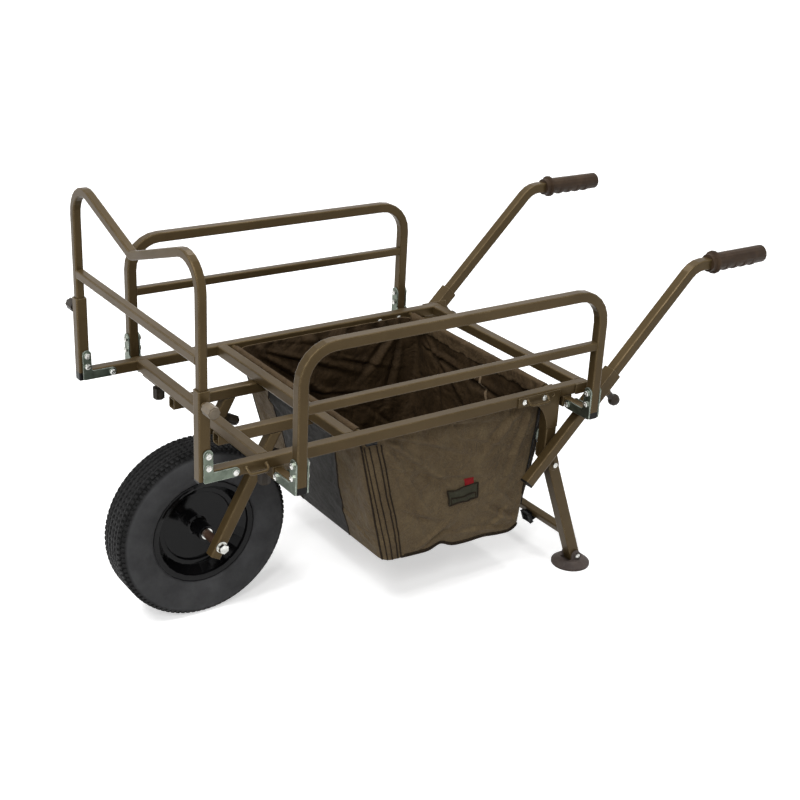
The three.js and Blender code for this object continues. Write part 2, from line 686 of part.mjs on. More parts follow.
const bracketBottom = railMid - bracketArm / 2;
for (const [side, s] of sides) {
  const y = s * railOffset;
  const knobZ = sleeveTop - sleeveKnobDrop;
  const outerFace = s * railOuter;
  const bore = frontTube + 2 * slip;
  let sleeve = cut(
    join(sweep(squareOutline(frameTube, tubeCorner), run(frontPostX, y, sleeveBottom, frontPostX, y, sleeveTop)),
      rod(bossRadius, 2 * bossHeight, 'y', frontPostX, outerFace, knobZ)),
    box(bore, bore, sleeveLength, frontPostX, y, (sleeveBottom + sleeveTop) / 2 + capThickness),
    rod(capHoleRadius, frameTube, 'z', frontPostX, y, sleeveBottom, rodSides),
    rod(screwRadius + slip, frameTube, 'y', frontPostX, outerFace, knobZ));
  const edge = frontPostX - frameTube / 2 + bracketInset;
  const boltX = edge + bracketArm / 2;
  const boltZ = [railMid + bracketBoltLow, railMid + bracketBoltLow + bracketBoltPitch];
  for (const z of boltZ) {
    sleeve = cut(sleeve, rod(boltHoleRadius, frameTube + overrun, 'y', boltX, y, z, rodSides));
  }
  add(`front_sleeve_${side}`, 'paint', sleeve);
  add(`front_knob_${side}`, 'plastic', knob(V(0, s, 0), V(frontPostX, outerFace + s * (bossHeight + slip), knobZ),
    bossHeight + tubeWall, knobRadius, knobLength));

  const top = railMid + frameTube / 2 + bracketRise;
  const outline = new THREE.Shape();
  outline.moveTo(edge + tubeCorner, bracketBottom);
  outline.lineTo(frontPivotX, bracketBottom);
  outline.absarc(frontPivotX, bracketBottom + bracketArm / 2, bracketArm / 2, -Math.PI / 2, Math.PI / 2);
  outline.lineTo(edge + bracketArm + tubeCorner, bracketBottom + bracketArm);
  outline.lineTo(edge + bracketArm, bracketBottom + bracketArm + tubeCorner);
  outline.lineTo(edge + bracketArm, top - bracketArm / 2);
  outline.absarc(edge + bracketArm / 2, top - bracketArm / 2, bracketArm / 2, 0, Math.PI);
  outline.lineTo(edge, bracketBottom + tubeCorner);
  outline.closePath();
  const plateAt = frameTube / 2 + slip + plateThickness / 2;
  const seat = frameTube / 2 + slip + plateThickness;
  let bracket = join(plate(outline, 'y', plateThickness, y + plateAt),
    plate(outline, 'y', plateThickness, y - plateAt));
  bracket = join(bracket, bolt('y', y + s * seat, y - s * seat, frontPivotX, 0, railMid, boltSides),
    ...boltZ.map((z) => bolt('y', y + s * seat, y - s * seat, boltX, 0, z)));
  add(`front_bracket_${side}`, 'zinc', bracket);
}

// Side bars: an inverted U outside each rail, folding on plate brackets carried by sliding stubs
for (const [side, s] of sides) {
  const y = s * sideBarOffset;
  const footZ = lowTubeMid - sideFootDrop;
  const boltZ = [lowTubeMid + sideBoltLow, lowTubeMid + sideBoltLow + sideBoltPitch];
  let bar = tube(sideTube, route([V(sidePostFrontX, y, footZ), V(sidePostFrontX, y, sideTopZ),
    V(sidePostRearX, y, sideTopZ), V(sidePostRearX, y, footZ)], [sideBendRadius, sideBendRadius]),
  capThickness, capThickness);
  for (const x of [sidePostFrontX, sidePostRearX]) {
    for (const z of boltZ) bar = cut(bar, rod(boltHoleRadius, sideTube + overrun, 'x', x, y, z, rodSides));
  }
  add(`side_bar_${side}`, 'paint', bar);
  const end = sideTube / 2 + seam;
  add(`side_bar_middle_${side}`, 'paint', tube(slimTube, run(sidePostFrontX + end, y, sideMidZ,
    sidePostRearX - end, y, sideMidZ)));

  for (const [place, x] of [['front', sidePostFrontX], ['rear', sidePostRearX]]) {
    const arm = bracketArm / 2;
    const post = sideTube / 2;
    const top = lowTubeMid + frameTube / 2 + sideBracketRise;
    const outline = new THREE.Shape();
    outline.moveTo(s * (sideBarOffset + post - tubeCorner), lowTubeMid - arm);
    outline.lineTo(s * sidePivotOffset, lowTubeMid - arm);
    outline.absarc(s * sidePivotOffset, lowTubeMid, arm, -Math.PI / 2, Math.PI / 2, s > 0);
    outline.lineTo(s * (sideBarOffset - post - tubeCorner), lowTubeMid + arm);
    outline.lineTo(s * (sideBarOffset - post), lowTubeMid + arm + tubeCorner);
    outline.lineTo(s * (sideBarOffset - post), top - post);
    outline.absarc(s * sideBarOffset, top - post, post, s > 0 ? Math.PI : 0, s > 0 ? 0 : Math.PI, s > 0);
    outline.lineTo(s * (sideBarOffset + post), lowTubeMid - arm + tubeCorner);
    outline.closePath();
    const plateAt = post + slip + plateThickness / 2;
    const seat = post + slip + plateThickness;
    let bracket = join(plate(outline, 'x', plateThickness, x - plateAt),
      plate(outline, 'x', plateThickness, x + plateAt));
    bracket = join(bracket, bolt('x', x - seat, x + seat, 0, s * sidePivotOffset, lowTubeMid, boltSides),
      ...boltZ.map((z) => bolt('x', x - seat, x + seat, 0, y, z)));
    add(`side_bracket_${place}_${side}`, 'zinc', bracket);

    const stub = cut(tube(barTube, run(x, s * stubInnerEnd, lowTubeMid, x, s * stubOuterEnd, lowTubeMid)),
      rod(boltRadius + slip, barTube + overrun, 'x', x, s * sidePivotOffset, lowTubeMid));
    add(`stub_${place}_${side}`, 'paint', stub);
    add(`stub_knob_${place}_${side}`, 'plastic', knob(V(0, 0, -1),
      V(x, s * stubKnobOffset, lowTubeBottom - bossHeight - slip),
      bossHeight + (frameTube - barTube) / 2 - slip, stubKnobRadius, stubKnobLength));
  }
}

// Rear legs: a bolted gusset and post on each rail, with a clevis that carries the folding frame
const postSize = legTube + 2 * slip;
const legPostBottom = legPivotZ + legPostClear;
const clevisTopZ = legPostBottom + clevisLap;
const onLeg = (z) => legPivotX + (legPivotZ - z) * Math.tan(legAngle);
for (const [side, s] of sides) {
  const y = s * railOffset;
  const sheetY = s * (railOuter + slip + plateThickness / 2);
  const gussetSkirtZ = deckBottom - gussetSkirt;
  const front = legPostX - postSize / 2;
  const back = legPostX + postSize / 2;
  const gusset = new THREE.Shape();
  gusset.moveTo(gussetFrontX, deckTop - tubeCorner);
  gusset.lineTo(back, deckTop - tubeCorner);
  gusset.lineTo(back, gussetSkirtZ);
  gusset.lineTo(front, gussetSkirtZ);
  gusset.quadraticCurveTo(front - gussetCurveInset, deckBottom - gussetCurveInset,
    front - gussetCurveX, deckBottom);
  gusset.lineTo(gussetFrontX, deckBottom);
  gusset.closePath();
  let leg = tube(postSize, run(legPostX, y, legPostBottom, legPostX, y, deckBottom - slip));
  leg = join(leg, plate(gusset, 'y', plateThickness, sheetY));
  const ear = new THREE.Shape();
  ear.moveTo(front, clevisTopZ);
  ear.lineTo(front, legPostBottom);
  ear.lineTo(legPivotX - legTube / 2, legPivotZ);
  ear.absarc(legPivotX, legPivotZ, legTube / 2, Math.PI, Math.PI * 2);
  ear.lineTo(back, clevisTopZ);
  ear.closePath();
  for (const way of [-1, 1]) {
    leg = join(leg, plate(ear, 'y', clevisPlate, y + way * (postSize / 2 + clevisPlate / 2)));
  }
  const seat = postSize / 2 + clevisPlate;
  leg = join(leg, bolt('y', y + s * seat, y - s * seat, legPivotX, 0, legPivotZ, boltSides));
  for (const x of [gussetBoltX1, gussetBoltX2]) {
    leg = join(leg, bolt('y', sheetY + s * plateThickness / 2, y - s * (frameTube / 2 + slip), x, 0, railMid));
  }
  leg = join(leg, loop(loopRearX, loopRearHalf, sheetY, s, railMid + loopRod));
  leg = cut(leg, rod(boltRadius, frameTube, 'y', gussetHoleX, sheetY + s * frameTube / 2, railMid));
  add(`leg_bracket_${side}`, 'paint', leg);
}

const along = V(Math.sin(legAngle), 0, -Math.cos(legAngle));
const legPin = V(onLeg(footPinZ), 0, footPinZ);
let legs;
for (const [, s] of sides) {
  const y = s * railOffset;
  const top = V(legPivotX, y, legPivotZ).addScaledVector(along, -legHeadReach);
  const toe = V(legPin.x, y, legPin.z).addScaledVector(along, legToeReach);
  const one = cut(tube(legTube, route([top, toe], [])),
    rod(boltRadius + slip, legTube + overrun, 'y', legPivotX, y, legPivotZ),
    rod(footPinRadius + slip, legTube + overrun, 'y', legPin.x, y, legPin.z));
  legs = legs ? join(legs, one) : one;
}
const crossAt = V(onLeg(legCrossZ), 0, legCrossZ);
const crossOutline = squareOutline(legCrossTube, tubeCorner);
const crossBore = squareOutline(legCrossTube - 2 * tubeWall, 0);
const legInner = railOffset - legTube / 2;
const crossPiece = (outline, reach, count) => solid(new THREE.ExtrudeGeometry(outline, {
  depth: 2 * reach, bevelEnabled: false, curveSegments: count,
}).translate(0, 0, -reach).rotateX(Math.PI / 2).rotateY(-legAngle).translate(crossAt.x, 0, crossAt.z));
legs = join(legs, cut(crossPiece(crossOutline, legInner + tubeWall / 2, cornerSteps),
  crossPiece(crossBore, legInner + tubeWall, 1)));
const crossVent = rod(capHoleRadius, 2 * legCrossTube, 'z', crossAt.x, 0, crossAt.z - legCrossTube);
add('leg_frame', 'paint', cut(legs, crossVent));

// Mud feet: domed discs that tilt on a pin through the leg's toe
for (const [side, s] of sides) {
  const y = s * railOffset;
  const dome = solid(new THREE.LatheGeometry([[0, 0], [footRadius, 0], [footRadius, footRim],
    [footDomeRadius, footDomeHeight], [0, footDomeHeight]].map(([r, z]) => new THREE.Vector2(r, z)), 2 * roundSides)
    .rotateX(Math.PI / 2).translate(legPin.x, y, 0));
  const earY = legTube / 2 + slip + footEarThickness / 2;
  let foot = dome;
  for (const way of [-1, 1]) {
    foot = join(foot,
      box(2 * footEarHalfWidth, footEarThickness, footPinZ - footRim, legPin.x, y + way * earY,
        (footPinZ + footRim) / 2),
      rod(footEarHalfWidth, footEarThickness, 'y', legPin.x, y + way * earY, footPinZ));
  }
  foot = cut(foot, box(2 * footSlotHalf, legTube + 2 * slip, 2 * footPinZ, legPin.x, y, footFloor + footPinZ));
  foot = join(foot, bolt('y', y - (earY + footEarThickness / 2), y + earY + footEarThickness / 2,
    legPin.x, 0, footPinZ, boltSides, footPinRadius, 2 * footPinRadius, footEarThickness));
  add(`mud_foot_${side}`, 'foot', foot);
}

// Handles: square tubes that slide in sockets at the rear of the rails, bent level to carry grips
const axisX = Math.cos(handleAngle);
const axisZ = Math.sin(handleAngle);
const onHandle = (t, n = 0) => [handleX + t * axisX + n * axisZ, handleZ + t * axisZ - n * axisX];
// Builds in a frame whose X runs up the handle and whose -Z points down and back, then tilts it.
function tilted(body) {
  const m = new THREE.Matrix4().makeRotationY(-handleAngle).setPosition(handleX, 0, handleZ);
  return body.transform(m.elements);
}
for (const [side, s] of sides) {
  const y = s * handleOffset;
  const pull = s > 0 ? farHandlePull : 0;
  const bore = handleTube + 2 * handleSlip;
  const outer = bore + 2 * socketWall;
  const low = -outer / 2;
  const length = socketMouth + socketTail;
  const middle = (socketMouth - socketTail) / 2;
  let socket = cut(
    join(box(length, outer, outer, middle, y, 0),
      rod(plungerBossRadius, plungerBossLength + socketWall, 'z', -plungerBack, y,
        low - (plungerBossLength - socketWall) / 2)),
    box(length + 2 * overrun, bore, bore, middle, y, 0),
    rod(plungerRadius + slip, 2 * (plungerBossLength + overrun), 'z', -plungerBack, y, low));
  socket = tilted(socket);
  const plateFrom = railOuter + slip;
  const plateTo = handleOffset - outer / 2 + socketWall / 2;
  add(`handle_socket_${side}`, 'paint', join(socket, box(socketPlateRear - socketPlateFront, plateTo - plateFrom,
    frameTube, (socketPlateFront + socketPlateRear) / 2, s * (plateFrom + plateTo) / 2, railMid)));

  const plunger = join(
    rod(plungerRadius, ballReach + socketWall, 'z', -plungerBack, y, low - (ballReach - socketWall) / 2),
    solid(new THREE.SphereGeometry(ballRadius, boltSides, rodSides)
      .translate(-plungerBack, y, low - ballReach)),
    rod(bossRadius, ballReach - plungerBossLength - slip, 'z', -plungerBack, y,
      low - (ballReach + plungerBossLength + slip) / 2));
  add(`plunger_${side}`, 'plastic', tilted(plunger));

  const [tailX, tailZ] = onHandle(-handleTail + pull);
  const rise = handleBendZ + pull * axisZ;
  const bendX = handleX + (rise - handleZ) / Math.tan(handleAngle);
  const endX = bendX + handleRun;
  let handle = tube(handleTube, route([V(tailX, y, tailZ), V(bendX, y, rise), V(endX, y, rise)],
    [handleBendRadius]), capThickness);
  for (let i = 1; i <= handleHoleCount; i++) {
    const t = (i - handleHoleCount / 2) * handleHolePitch - plungerBack;
    handle = cut(handle, tilted(rod(plungerRadius + slip, handleTube, 'z', t, y, -handleTube / 2, rodSides)));
  }
  add(`handle_${side}`, 'paint', handle);

  const grip = new THREE.LatheGeometry([
    [0, gripEndWall], [gripRadius - tubeCorner, gripEndWall], [gripRadius, gripEndWall - tubeCorner],
    [gripRadius, gripCollar + gripFlangeLength - gripLength],
    [gripFlangeRadius, gripCollar + gripFlangeLength - tubeCorner - gripLength],
    [gripFlangeRadius, gripCollar - gripLength], [gripRadius, gripCollar - tubeCorner - gripLength],
    [gripRadius, -gripLength], [0, -gripLength],
  ].map(([r, t]) => new THREE.Vector2(r, t)), roundSides).rotateZ(-Math.PI / 2);
  let body = solid(grip);
  for (let i = 0; i < gripRidgeCount; i++) {
    const t = gripCollar + gripFlangeLength + (i + 1) * gripRidgePitch - gripLength;
    body = join(body, rod(gripRadius, gripRidgePitch / 3, 'x', t, 0, -gripRidge, roundSides));
  }
  const stock = handleTube + 2 * slip;
  body = cut(body, box(2 * gripLength, stock, stock, slip - gripLength, 0, 0));
  add(`grip_${side}`, 'brown', body.translate(endX, y, rise));
}

// Bag: an open box of cloth that hangs from the two rods and tapers towards its floor
function bagShell(inset, lift) {
  const floor = [[bagFloorFrontX + inset, bagFloorFrontZ + inset], [bagFloorRearX - inset, bagFloorRearZ + inset]];
  const top = [[bagRodFrontX + inset, bagTopZ + lift], [bagRodRearX - inset, bagTopZ + lift]];
  const points = [];
  for (const [[front, rear], width] of [[floor, bagFloorHalfWidth - inset], [top, bagTopHalfWidth - inset]]) {
    points.push(front[0], -width, front[1], rear[0], -width, rear[1]);
    points.push(rear[0], width, rear[1], front[0], width, front[1]);
  }
  const faces = [0, 2, 1, 0, 3, 2, 4, 5, 6, 4, 6, 7];
  for (let i = 0; i < 4; i++) {
    const j = (i + 1) % 4;
    faces.push(i, j, j + 4, i, j + 4, i + 4);
  }
  const g = new THREE.BufferGeometry();
  g.setAttribute('position', new THREE.BufferAttribute(new Float32Array(points), 3));
  g.setIndex(faces);
  return solid(g);
}
const hemRadius = bagRodRadius + slip + bagHemWall;
const bagRods = [bagRodFrontX, bagRodRearX];
let bag = join(bagShell(0, 0), ...bagRods.map((x) => rod(hemRadius, 2 * bagTopHalfWidth, 'y', x, 0, bagRodZ)));
bag = cut(bag, bagShell(bagWall, overrun),
  ...bagRods.map((x) => rod(bagRodRadius + slip, 2 * railInner, 'y', x, 0, bagRodZ)));
add('bag', 'cloth', bag);

// The origin is under the middle of the whole part
const bounds = new THREE.Box3().setFromObject(group);
const middleX = (bounds.min.x + bounds.max.x) / 2;
for (const mesh of group.children) mesh.position.x = -middleX;

export default group;
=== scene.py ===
import json
import math

import bmesh
import bpy
import numpy as np
from mathutils import Matrix, Vector


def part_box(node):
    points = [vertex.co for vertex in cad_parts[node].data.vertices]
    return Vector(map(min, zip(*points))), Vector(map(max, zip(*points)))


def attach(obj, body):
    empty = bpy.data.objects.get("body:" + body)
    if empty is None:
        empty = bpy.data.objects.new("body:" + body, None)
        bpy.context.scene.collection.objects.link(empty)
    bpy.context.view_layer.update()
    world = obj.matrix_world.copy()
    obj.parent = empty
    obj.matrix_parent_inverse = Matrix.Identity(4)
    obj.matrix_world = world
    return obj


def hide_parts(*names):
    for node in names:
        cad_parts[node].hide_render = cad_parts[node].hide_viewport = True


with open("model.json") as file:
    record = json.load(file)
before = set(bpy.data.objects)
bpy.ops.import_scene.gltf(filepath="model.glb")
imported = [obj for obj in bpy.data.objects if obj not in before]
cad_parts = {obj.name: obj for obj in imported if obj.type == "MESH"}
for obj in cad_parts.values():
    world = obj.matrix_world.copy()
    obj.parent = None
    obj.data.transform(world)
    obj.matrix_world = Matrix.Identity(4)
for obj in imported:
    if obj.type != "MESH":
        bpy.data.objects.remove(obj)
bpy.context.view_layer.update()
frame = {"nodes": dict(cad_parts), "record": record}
nodes = frame["nodes"]
SIDES = (("near", -1), ("far", 1))

# Helpers for materials


def srgb(r, g, b):
    def one(v):
        v /= 255
        return v / 12.92 if v <= 0.04045 else ((v + 0.055) / 1.055) ** 2.4

    return (one(r), one(g), one(b), 1.0)


class Mat:
    """A node material with its shader, and short calls that add nodes to it."""

    def __init__(self, name, **values):
        self.mat = bpy.data.materials.new(name)
        self.mat.use_nodes = True
        self.tree = self.mat.node_tree
        self.shader = self.tree.nodes["Principled BSDF"]
        self.coords = self.tree.nodes.new("ShaderNodeTexCoord").outputs["Object"]
        for key, value in values.items():
            self.shader.inputs[key.replace("_", " ")].default_value = value

    def node(self, kind, inputs=None, **settings):
        n = self.tree.nodes.new(kind)
        for key, value in settings.items():
            setattr(n, key, value)
        for key, value in (inputs or {}).items():
            if isinstance(value, bpy.types.NodeSocket):
                self.tree.links.new(value, n.inputs[key])
            else:
                n.inputs[key].default_value = value
        return n

    def noise(self, scale, detail=4, rough=0.6, distortion=0.0):
        return self.node(
            "ShaderNodeTexNoise",
            {"Vector": self.coords, "Scale": scale, "Detail": detail, "Roughness": rough,
             "Distortion": distortion},
        ).outputs["Fac"]

    def spread(self, value, low, high, start=0.0, end=1.0):
        return self.node(
            "ShaderNodeMapRange",
            {"Value": value, "From Min": low, "From Max": high, "To Min": start, "To Max": end},
        ).outputs["Result"]

    def math(self, kind, a, b):
        return self.node("ShaderNodeMath", {0: a, 1: b}, operation=kind).outputs[0]

    def mix(self, factor, a, b):
        made = self.node("ShaderNodeMix", {"Factor": factor, "A": a, "B": b}, data_type="RGBA")
        return made.outputs["Result"]

    def split(self):
        return self.node("ShaderNodeSeparateXYZ", {"Vector": self.coords}).outputs

    def link(self, value, socket):
        self.tree.links.new(value, self.shader.inputs[socket])

    def bump(self, height, distance, strength=1.0):
        n = self.node("ShaderNodeBump", {"Height": height, "Distance": distance, "Strength": strength})
        if self.shader.inputs["Normal"].links:
            self.tree.links.new(self.shader.inputs["Normal"].links[0].from_socket, n.inputs["Normal"])
        self.link(n.outputs[0], "Normal")


def two_tone(m, dark, light, scale):
    """Clouds of two colours."""
    m.link(m.mix(m.spread(m.noise(scale), 0.35, 0.65), dark, light), "Base Color")


def rubbed_and_highlit_edges(m, radius, reach):
    """Rounds the light on sharp edges and gives a mask along them, for a lighter colour that is partly rubbed
    wear and partly a painted highlight.
    """
    soft = m.node("ShaderNodeBevel", {"Radius": radius}, samples=4).outputs[0]
    flat = m.node("ShaderNodeNewGeometry").outputs["Normal"]
    turn = m.node("ShaderNodeVectorMath", {0: soft, 1: flat}, operation="DOT_PRODUCT").outputs["Value"]
    m.link(soft, "Normal")
    patchy = m.spread(m.noise(55, 4), 0.35, 0.7, 0.2, 1.0)
    return m.math("MULTIPLY", m.spread(turn, 0.995, 0.86), m.math("MULTIPLY", patchy, reach))


def painted(name, cap=None):
    """The satin olive-brown powder coat, with a black plastic cap where a tube ends."""
    m = Mat(name, Metallic=0.3, Specular_IOR_Level=0.12)
    colour = m.mix(m.spread(m.noise(6, 3), 0.3, 0.7), srgb(74, 60, 37), srgb(86, 71, 46))
    speckle = m.spread(m.noise(900, 2), 0.62, 0.75)
    colour = m.mix(m.math("MULTIPLY", speckle, 0.3), colour, srgb(112, 96, 70))
    # lighter edges: partly rubbed paint, partly a painted highlight along the tube edges
    colour = m.mix(rubbed_and_highlit_edges(m, 0.0018, 0.9), colour, srgb(162, 144, 112))
    rough = m.spread(m.noise(14, 5), 0.3, 0.7, 0.3, 0.4)
    if cap is not None:
        (across, _, rise), limit = cap
        x, _, z = m.split()[0:3]
        along = m.math("ADD", m.math("MULTIPLY", x, across), m.math("MULTIPLY", z, rise))
        colour = m.mix(m.math("LESS_THAN", along, limit), colour, srgb(26, 25, 24))
    m.link(colour, "Base Color")
    m.link(rough, "Roughness")
    m.bump(m.noise(700, 2), 0.00012, 0.4)
    return m.mat


def zinc():
    m = Mat("bracket_zinc", Metallic=0.85)
    colour = m.mix(m.spread(m.noise(34, 5), 0.3, 0.7), srgb(70, 78, 68), srgb(106, 115, 103))
    # lighter edges: a painted highlight along the plate edges, with some wear
    m.link(m.mix(rubbed_and_highlit_edges(m, 0.0018, 1.0), colour, srgb(220, 228, 218)), "Base Color")
    m.link(m.spread(m.noise(120, 5), 0.3, 0.7, 0.26, 0.4), "Roughness")
    m.bump(m.noise(260, 4), 0.0001, 0.3)
    return m.mat


def steel():
    m = Mat("bolt_steel", Metallic=1.0)
    two_tone(m, srgb(170, 170, 165), srgb(216, 216, 212), 90)
    m.link(m.spread(m.noise(200, 3), 0.3, 0.7, 0.14, 0.28), "Roughness")
    return m.mat


def gloss_black():
    m = Mat("rim_gloss", Specular_IOR_Level=0.15)
    colour = m.mix(m.spread(m.noise(12, 4), 0.35, 0.65), srgb(7, 7, 8), srgb(12, 12, 13))
    # lighter edges: a painted highlight round the rim's lip and edges, with some wear
    m.link(m.mix(rubbed_and_highlit_edges(m, 0.0015, 0.3), colour, srgb(60, 60, 62)), "Base Color")
    m.link(m.spread(m.noise(60, 4), 0.35, 0.75, 0.08, 0.16), "Roughness")
    m.bump(m.noise(30, 2), 0.0003, 0.25)
    return m.mat


def tyre_rubber():
    m = Mat("tyre_rubber", Specular_IOR_Level=0.15)
    x, y, z = m.split()[0:3]
    dx = m.math("ADD", x, -float(axle.x))
    dz = m.math("ADD", z, -float(axle.z))
    radius = m.math("SQRT", m.math("ADD", m.math("MULTIPLY", dx, dx), m.math("MULTIPLY", dz, dz)), 0.0)
    tread = m.spread(radius, 0.184, 0.19)
    wall = m.mix(m.spread(m.noise(18, 4), 0.35, 0.65), srgb(55, 55, 56), srgb(69, 69, 70))
    crown = m.mix(m.spread(m.noise(70, 5), 0.35, 0.65), srgb(7, 7, 7), srgb(20, 20, 20))
    dust = m.math("MULTIPLY", m.spread(m.noise(60, 6), 0.5, 0.8), 0.14)
    m.link(m.mix(dust, m.mix(tread, wall, crown), srgb(62, 62, 62)), "Base Color")
    m.link(m.spread(m.noise(80, 4), 0.3, 0.7, 0.5, 0.68), "Roughness")
    m.bump(m.noise(350, 4), 0.0002, 0.4)
    return m.mat


def plastic(name, dark, light, rough=(0.38, 0.52), grain=500):
    m = Mat(name, Specular_IOR_Level=0.2)
    two_tone(m, srgb(*dark), srgb(*light), 30)
    m.link(m.spread(m.noise(90, 3), 0.3, 0.7, *rough), "Roughness")
    m.bump(m.noise(grain, 3), 0.0002, 0.5)
    return m.mat


def cloth(name, dark, light, weave=2600.0, sheen=0.06):
    m = Mat(name, Roughness=0.74, Specular_IOR_Level=0.12, Sheen_Weight=sheen, Sheen_Roughness=0.5)
    colour = m.mix(m.spread(m.noise(24, 6, 0.7), 0.32, 0.68), srgb(*dark), srgb(*light))
    fine = m.spread(m.noise(420, 3), 0.35, 0.7)
    m.link(m.mix(m.math("MULTIPLY", fine, 0.3), colour, srgb(*[min(255, int(v * 1.35)) for v in light])),
           "Base Color")
    x, y, z = m.split()[0:3]
    for axis in (x, y, z):
        place = m.node("ShaderNodeCombineXYZ", {0: axis}).outputs[0]
        wave = m.node("ShaderNodeTexWave", {"Vector": place, "Scale": weave / 20}).outputs["Fac"]
        m.bump(wave, 0.0001, 0.25)
    m.bump(m.noise(13, 6, 0.6, distortion=0.8), 0.016, 1.0)
    m.bump(m.noise(70, 5, 0.65), 0.002, 0.8)
    return m.mat


axle = (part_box("axle_bolt")[0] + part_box("axle_bolt")[1]) / 2
SLOPE = Vector((1, 0, 1)).normalized()
UPRIGHT = Vector((0, 0, 1))


def end_of(name, direction):
    """The lowest point of a node along a direction."""
    return min(direction.dot(v.co) for v in nodes[name].data.vertices)


M = {
    "paint": painted("frame_paint"),
    "paint_side": painted("frame_paint_side", (UPRIGHT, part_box("side_bar_near")[0].z + 0.015)),
    "paint_sleeve_near": painted("frame_paint_sleeve_near",
                                 (UPRIGHT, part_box("front_sleeve_near")[0].z + 0.004)),
    "paint_sleeve_far": painted("frame_paint_sleeve_far",
                                (UPRIGHT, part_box("front_sleeve_far")[0].z + 0.018)),
    "plug_near": painted("frame_paint_plug_near", (SLOPE, end_of("handle_near", SLOPE) + 0.004)),
    "plug_far": painted("frame_paint_plug_far", (SLOPE, end_of("handle_far", SLOPE) + 0.004)),
    "zinc": zinc(),
    "steel": steel(),
    "gloss": gloss_black(),
    "tyre": tyre_rubber(),
    "knob": plastic("knob_plastic", (40, 34, 27), (56, 49, 40)),
    "knob_light": plastic("knob_plastic_light", (104, 94, 80), (128, 117, 101)),
    "spacer": plastic("spacer_plastic", (52, 38, 30), (70, 52, 41)),
    "grip": plastic("grip_rubber", (48, 35, 24), (64, 49, 35), (0.48, 0.62), 900),
    "foot": plastic("foot_plastic", (66, 57, 53), (86, 77, 72), (0.5, 0.7), 300),
    "cloth": cloth("bag_cloth", (88, 73, 54), (110, 95, 71)),
    # the inside of the bag: the lining's colour, darkened further to paint the shade inside the bag
    "cloth_in_shaded": cloth("bag_lining_shaded", (36, 26, 15), (54, 41, 25), sheen=0.0),
    "cloth_hem": cloth("bag_hem", (56, 44, 30), (76, 62, 44), sheen=0.0),
    "pvc": cloth("bag_panel", (54, 53, 51), (72, 71, 69), weave=900.0, sheen=0.0),
    "piping": cloth("bag_piping", (28, 21, 14), (42, 33, 23), weave=1600.0, sheen=0.0),
    "webbing": cloth("webbing", (14, 14, 14), (26, 26, 26), weave=3000.0, sheen=0.1),
    "tape": cloth("pale_tape", (84, 70, 52), (104, 88, 68), weave=3000.0, sheen=0.1),
    "patch": cloth("bare_patch", (50, 50, 40), (66, 65, 52), weave=3400.0, sheen=0.0),
    "tag": cloth("plain_tag", (120, 26, 30), (146, 36, 40), weave=3400.0, sheen=0.0),
    "buckle": plastic("buckle_plastic", (18, 18, 18), (32, 31, 30), (0.3, 0.45)),
}

LOOK = {
    "frame_paint": "paint", "bracket_zinc": "zinc", "bolt_steel": "steel", "rim_gloss": "gloss",
    "tyre_rubber": "tyre", "knob_plastic": "knob", "spacer_plastic": "spacer", "grip_rubber": "grip",
    "foot_plastic": "foot", "bag_cloth": "cloth",
}


def shade(ob, angle=50.0):
    ob.data.shade_smooth()
    ob.data.set_sharp_from_angle(angle=math.radians(angle))
    mod = ob.modifiers.new("weighted", "WEIGHTED_NORMAL")
    mod.keep_sharp = True
    mod.weight = 50


def dress(ob, key):
    ob.data.materials.clear()
    ob.data.materials.append(M[key])


slots = {s["node"]: s["material_slot"] for s in frame["record"]["subparts"]}
for name, ob in nodes.items():
    key = LOOK[slots[name]]
    if name.startswith("side_bar_") and "middle" not in name:
        key = "paint_side"
    if name.startswith("front_sleeve"):
        key = name.replace("front", "paint")
    if name in ("handle_near", "handle_far"):
        key = name.replace("handle", "plug")
    if name == "front_knob_near":
        key = "knob_light"
    dress(ob, key)
    shade(ob)

# Helpers for pieces


def piece(name, verts, faces, mats, body, smooth=60.0):
    mesh = bpy.data.meshes.new(name)
    mesh.from_pydata([tuple(v) for v in verts], [], [tuple(int(i) for i in f) for f in faces])
    mesh.validate()
    ob = bpy.data.objects.new(name, mesh)
    bpy.context.scene.collection.objects.link(ob)
    for m in mats:
        mesh.materials.append(M[m])
    bm = bmesh.new()
    bm.from_mesh(mesh)
    bmesh.ops.recalc_face_normals(bm, faces=bm.faces)
    bm.to_mesh(mesh)
    bm.free()
    mesh.shade_smooth()
    if smooth < 180:
        mesh.set_sharp_from_angle(angle=math.radians(smooth))
    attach(ob, body)
    return ob


def ribbon(name, path, normals, width, thick, mat, body, across=None):
    """A flat strap along a path, with one width or one for each point. The normals point out of its face."""
    widths = width if hasattr(width, "__len__") else [width] * len(path)
    path = [Vector(p) for p in path]
    normals = [Vector(n).normalized() for n in normals]
    verts, faces = [], []
    for i, (p, n) in enumerate(zip(path, normals)):
        t = (path[min(i + 1, len(path) - 1)] - path[max(i - 1, 0)]).normalized()
        b = t.cross(n).normalized()
        for sx, sz in ((-1, 0), (-0.92, 1), (0.92, 1), (1, 0), (0.92, -1), (-0.92, -1)):
            verts.append(p + b * (sx * widths[i] / 2) + n * (sz * thick / 2))
    for i in range(len(path) - 1):
        for k in range(6):
            a, b2 = i * 6 + k, i * 6 + (k + 1) % 6
            faces.append((a, b2, b2 + 6, a + 6))
    faces.append(tuple(range(6)))
    faces.append(tuple(range((len(path) - 1) * 6, len(path) * 6)))
    return piece(name, verts, faces, [mat], body, 40)


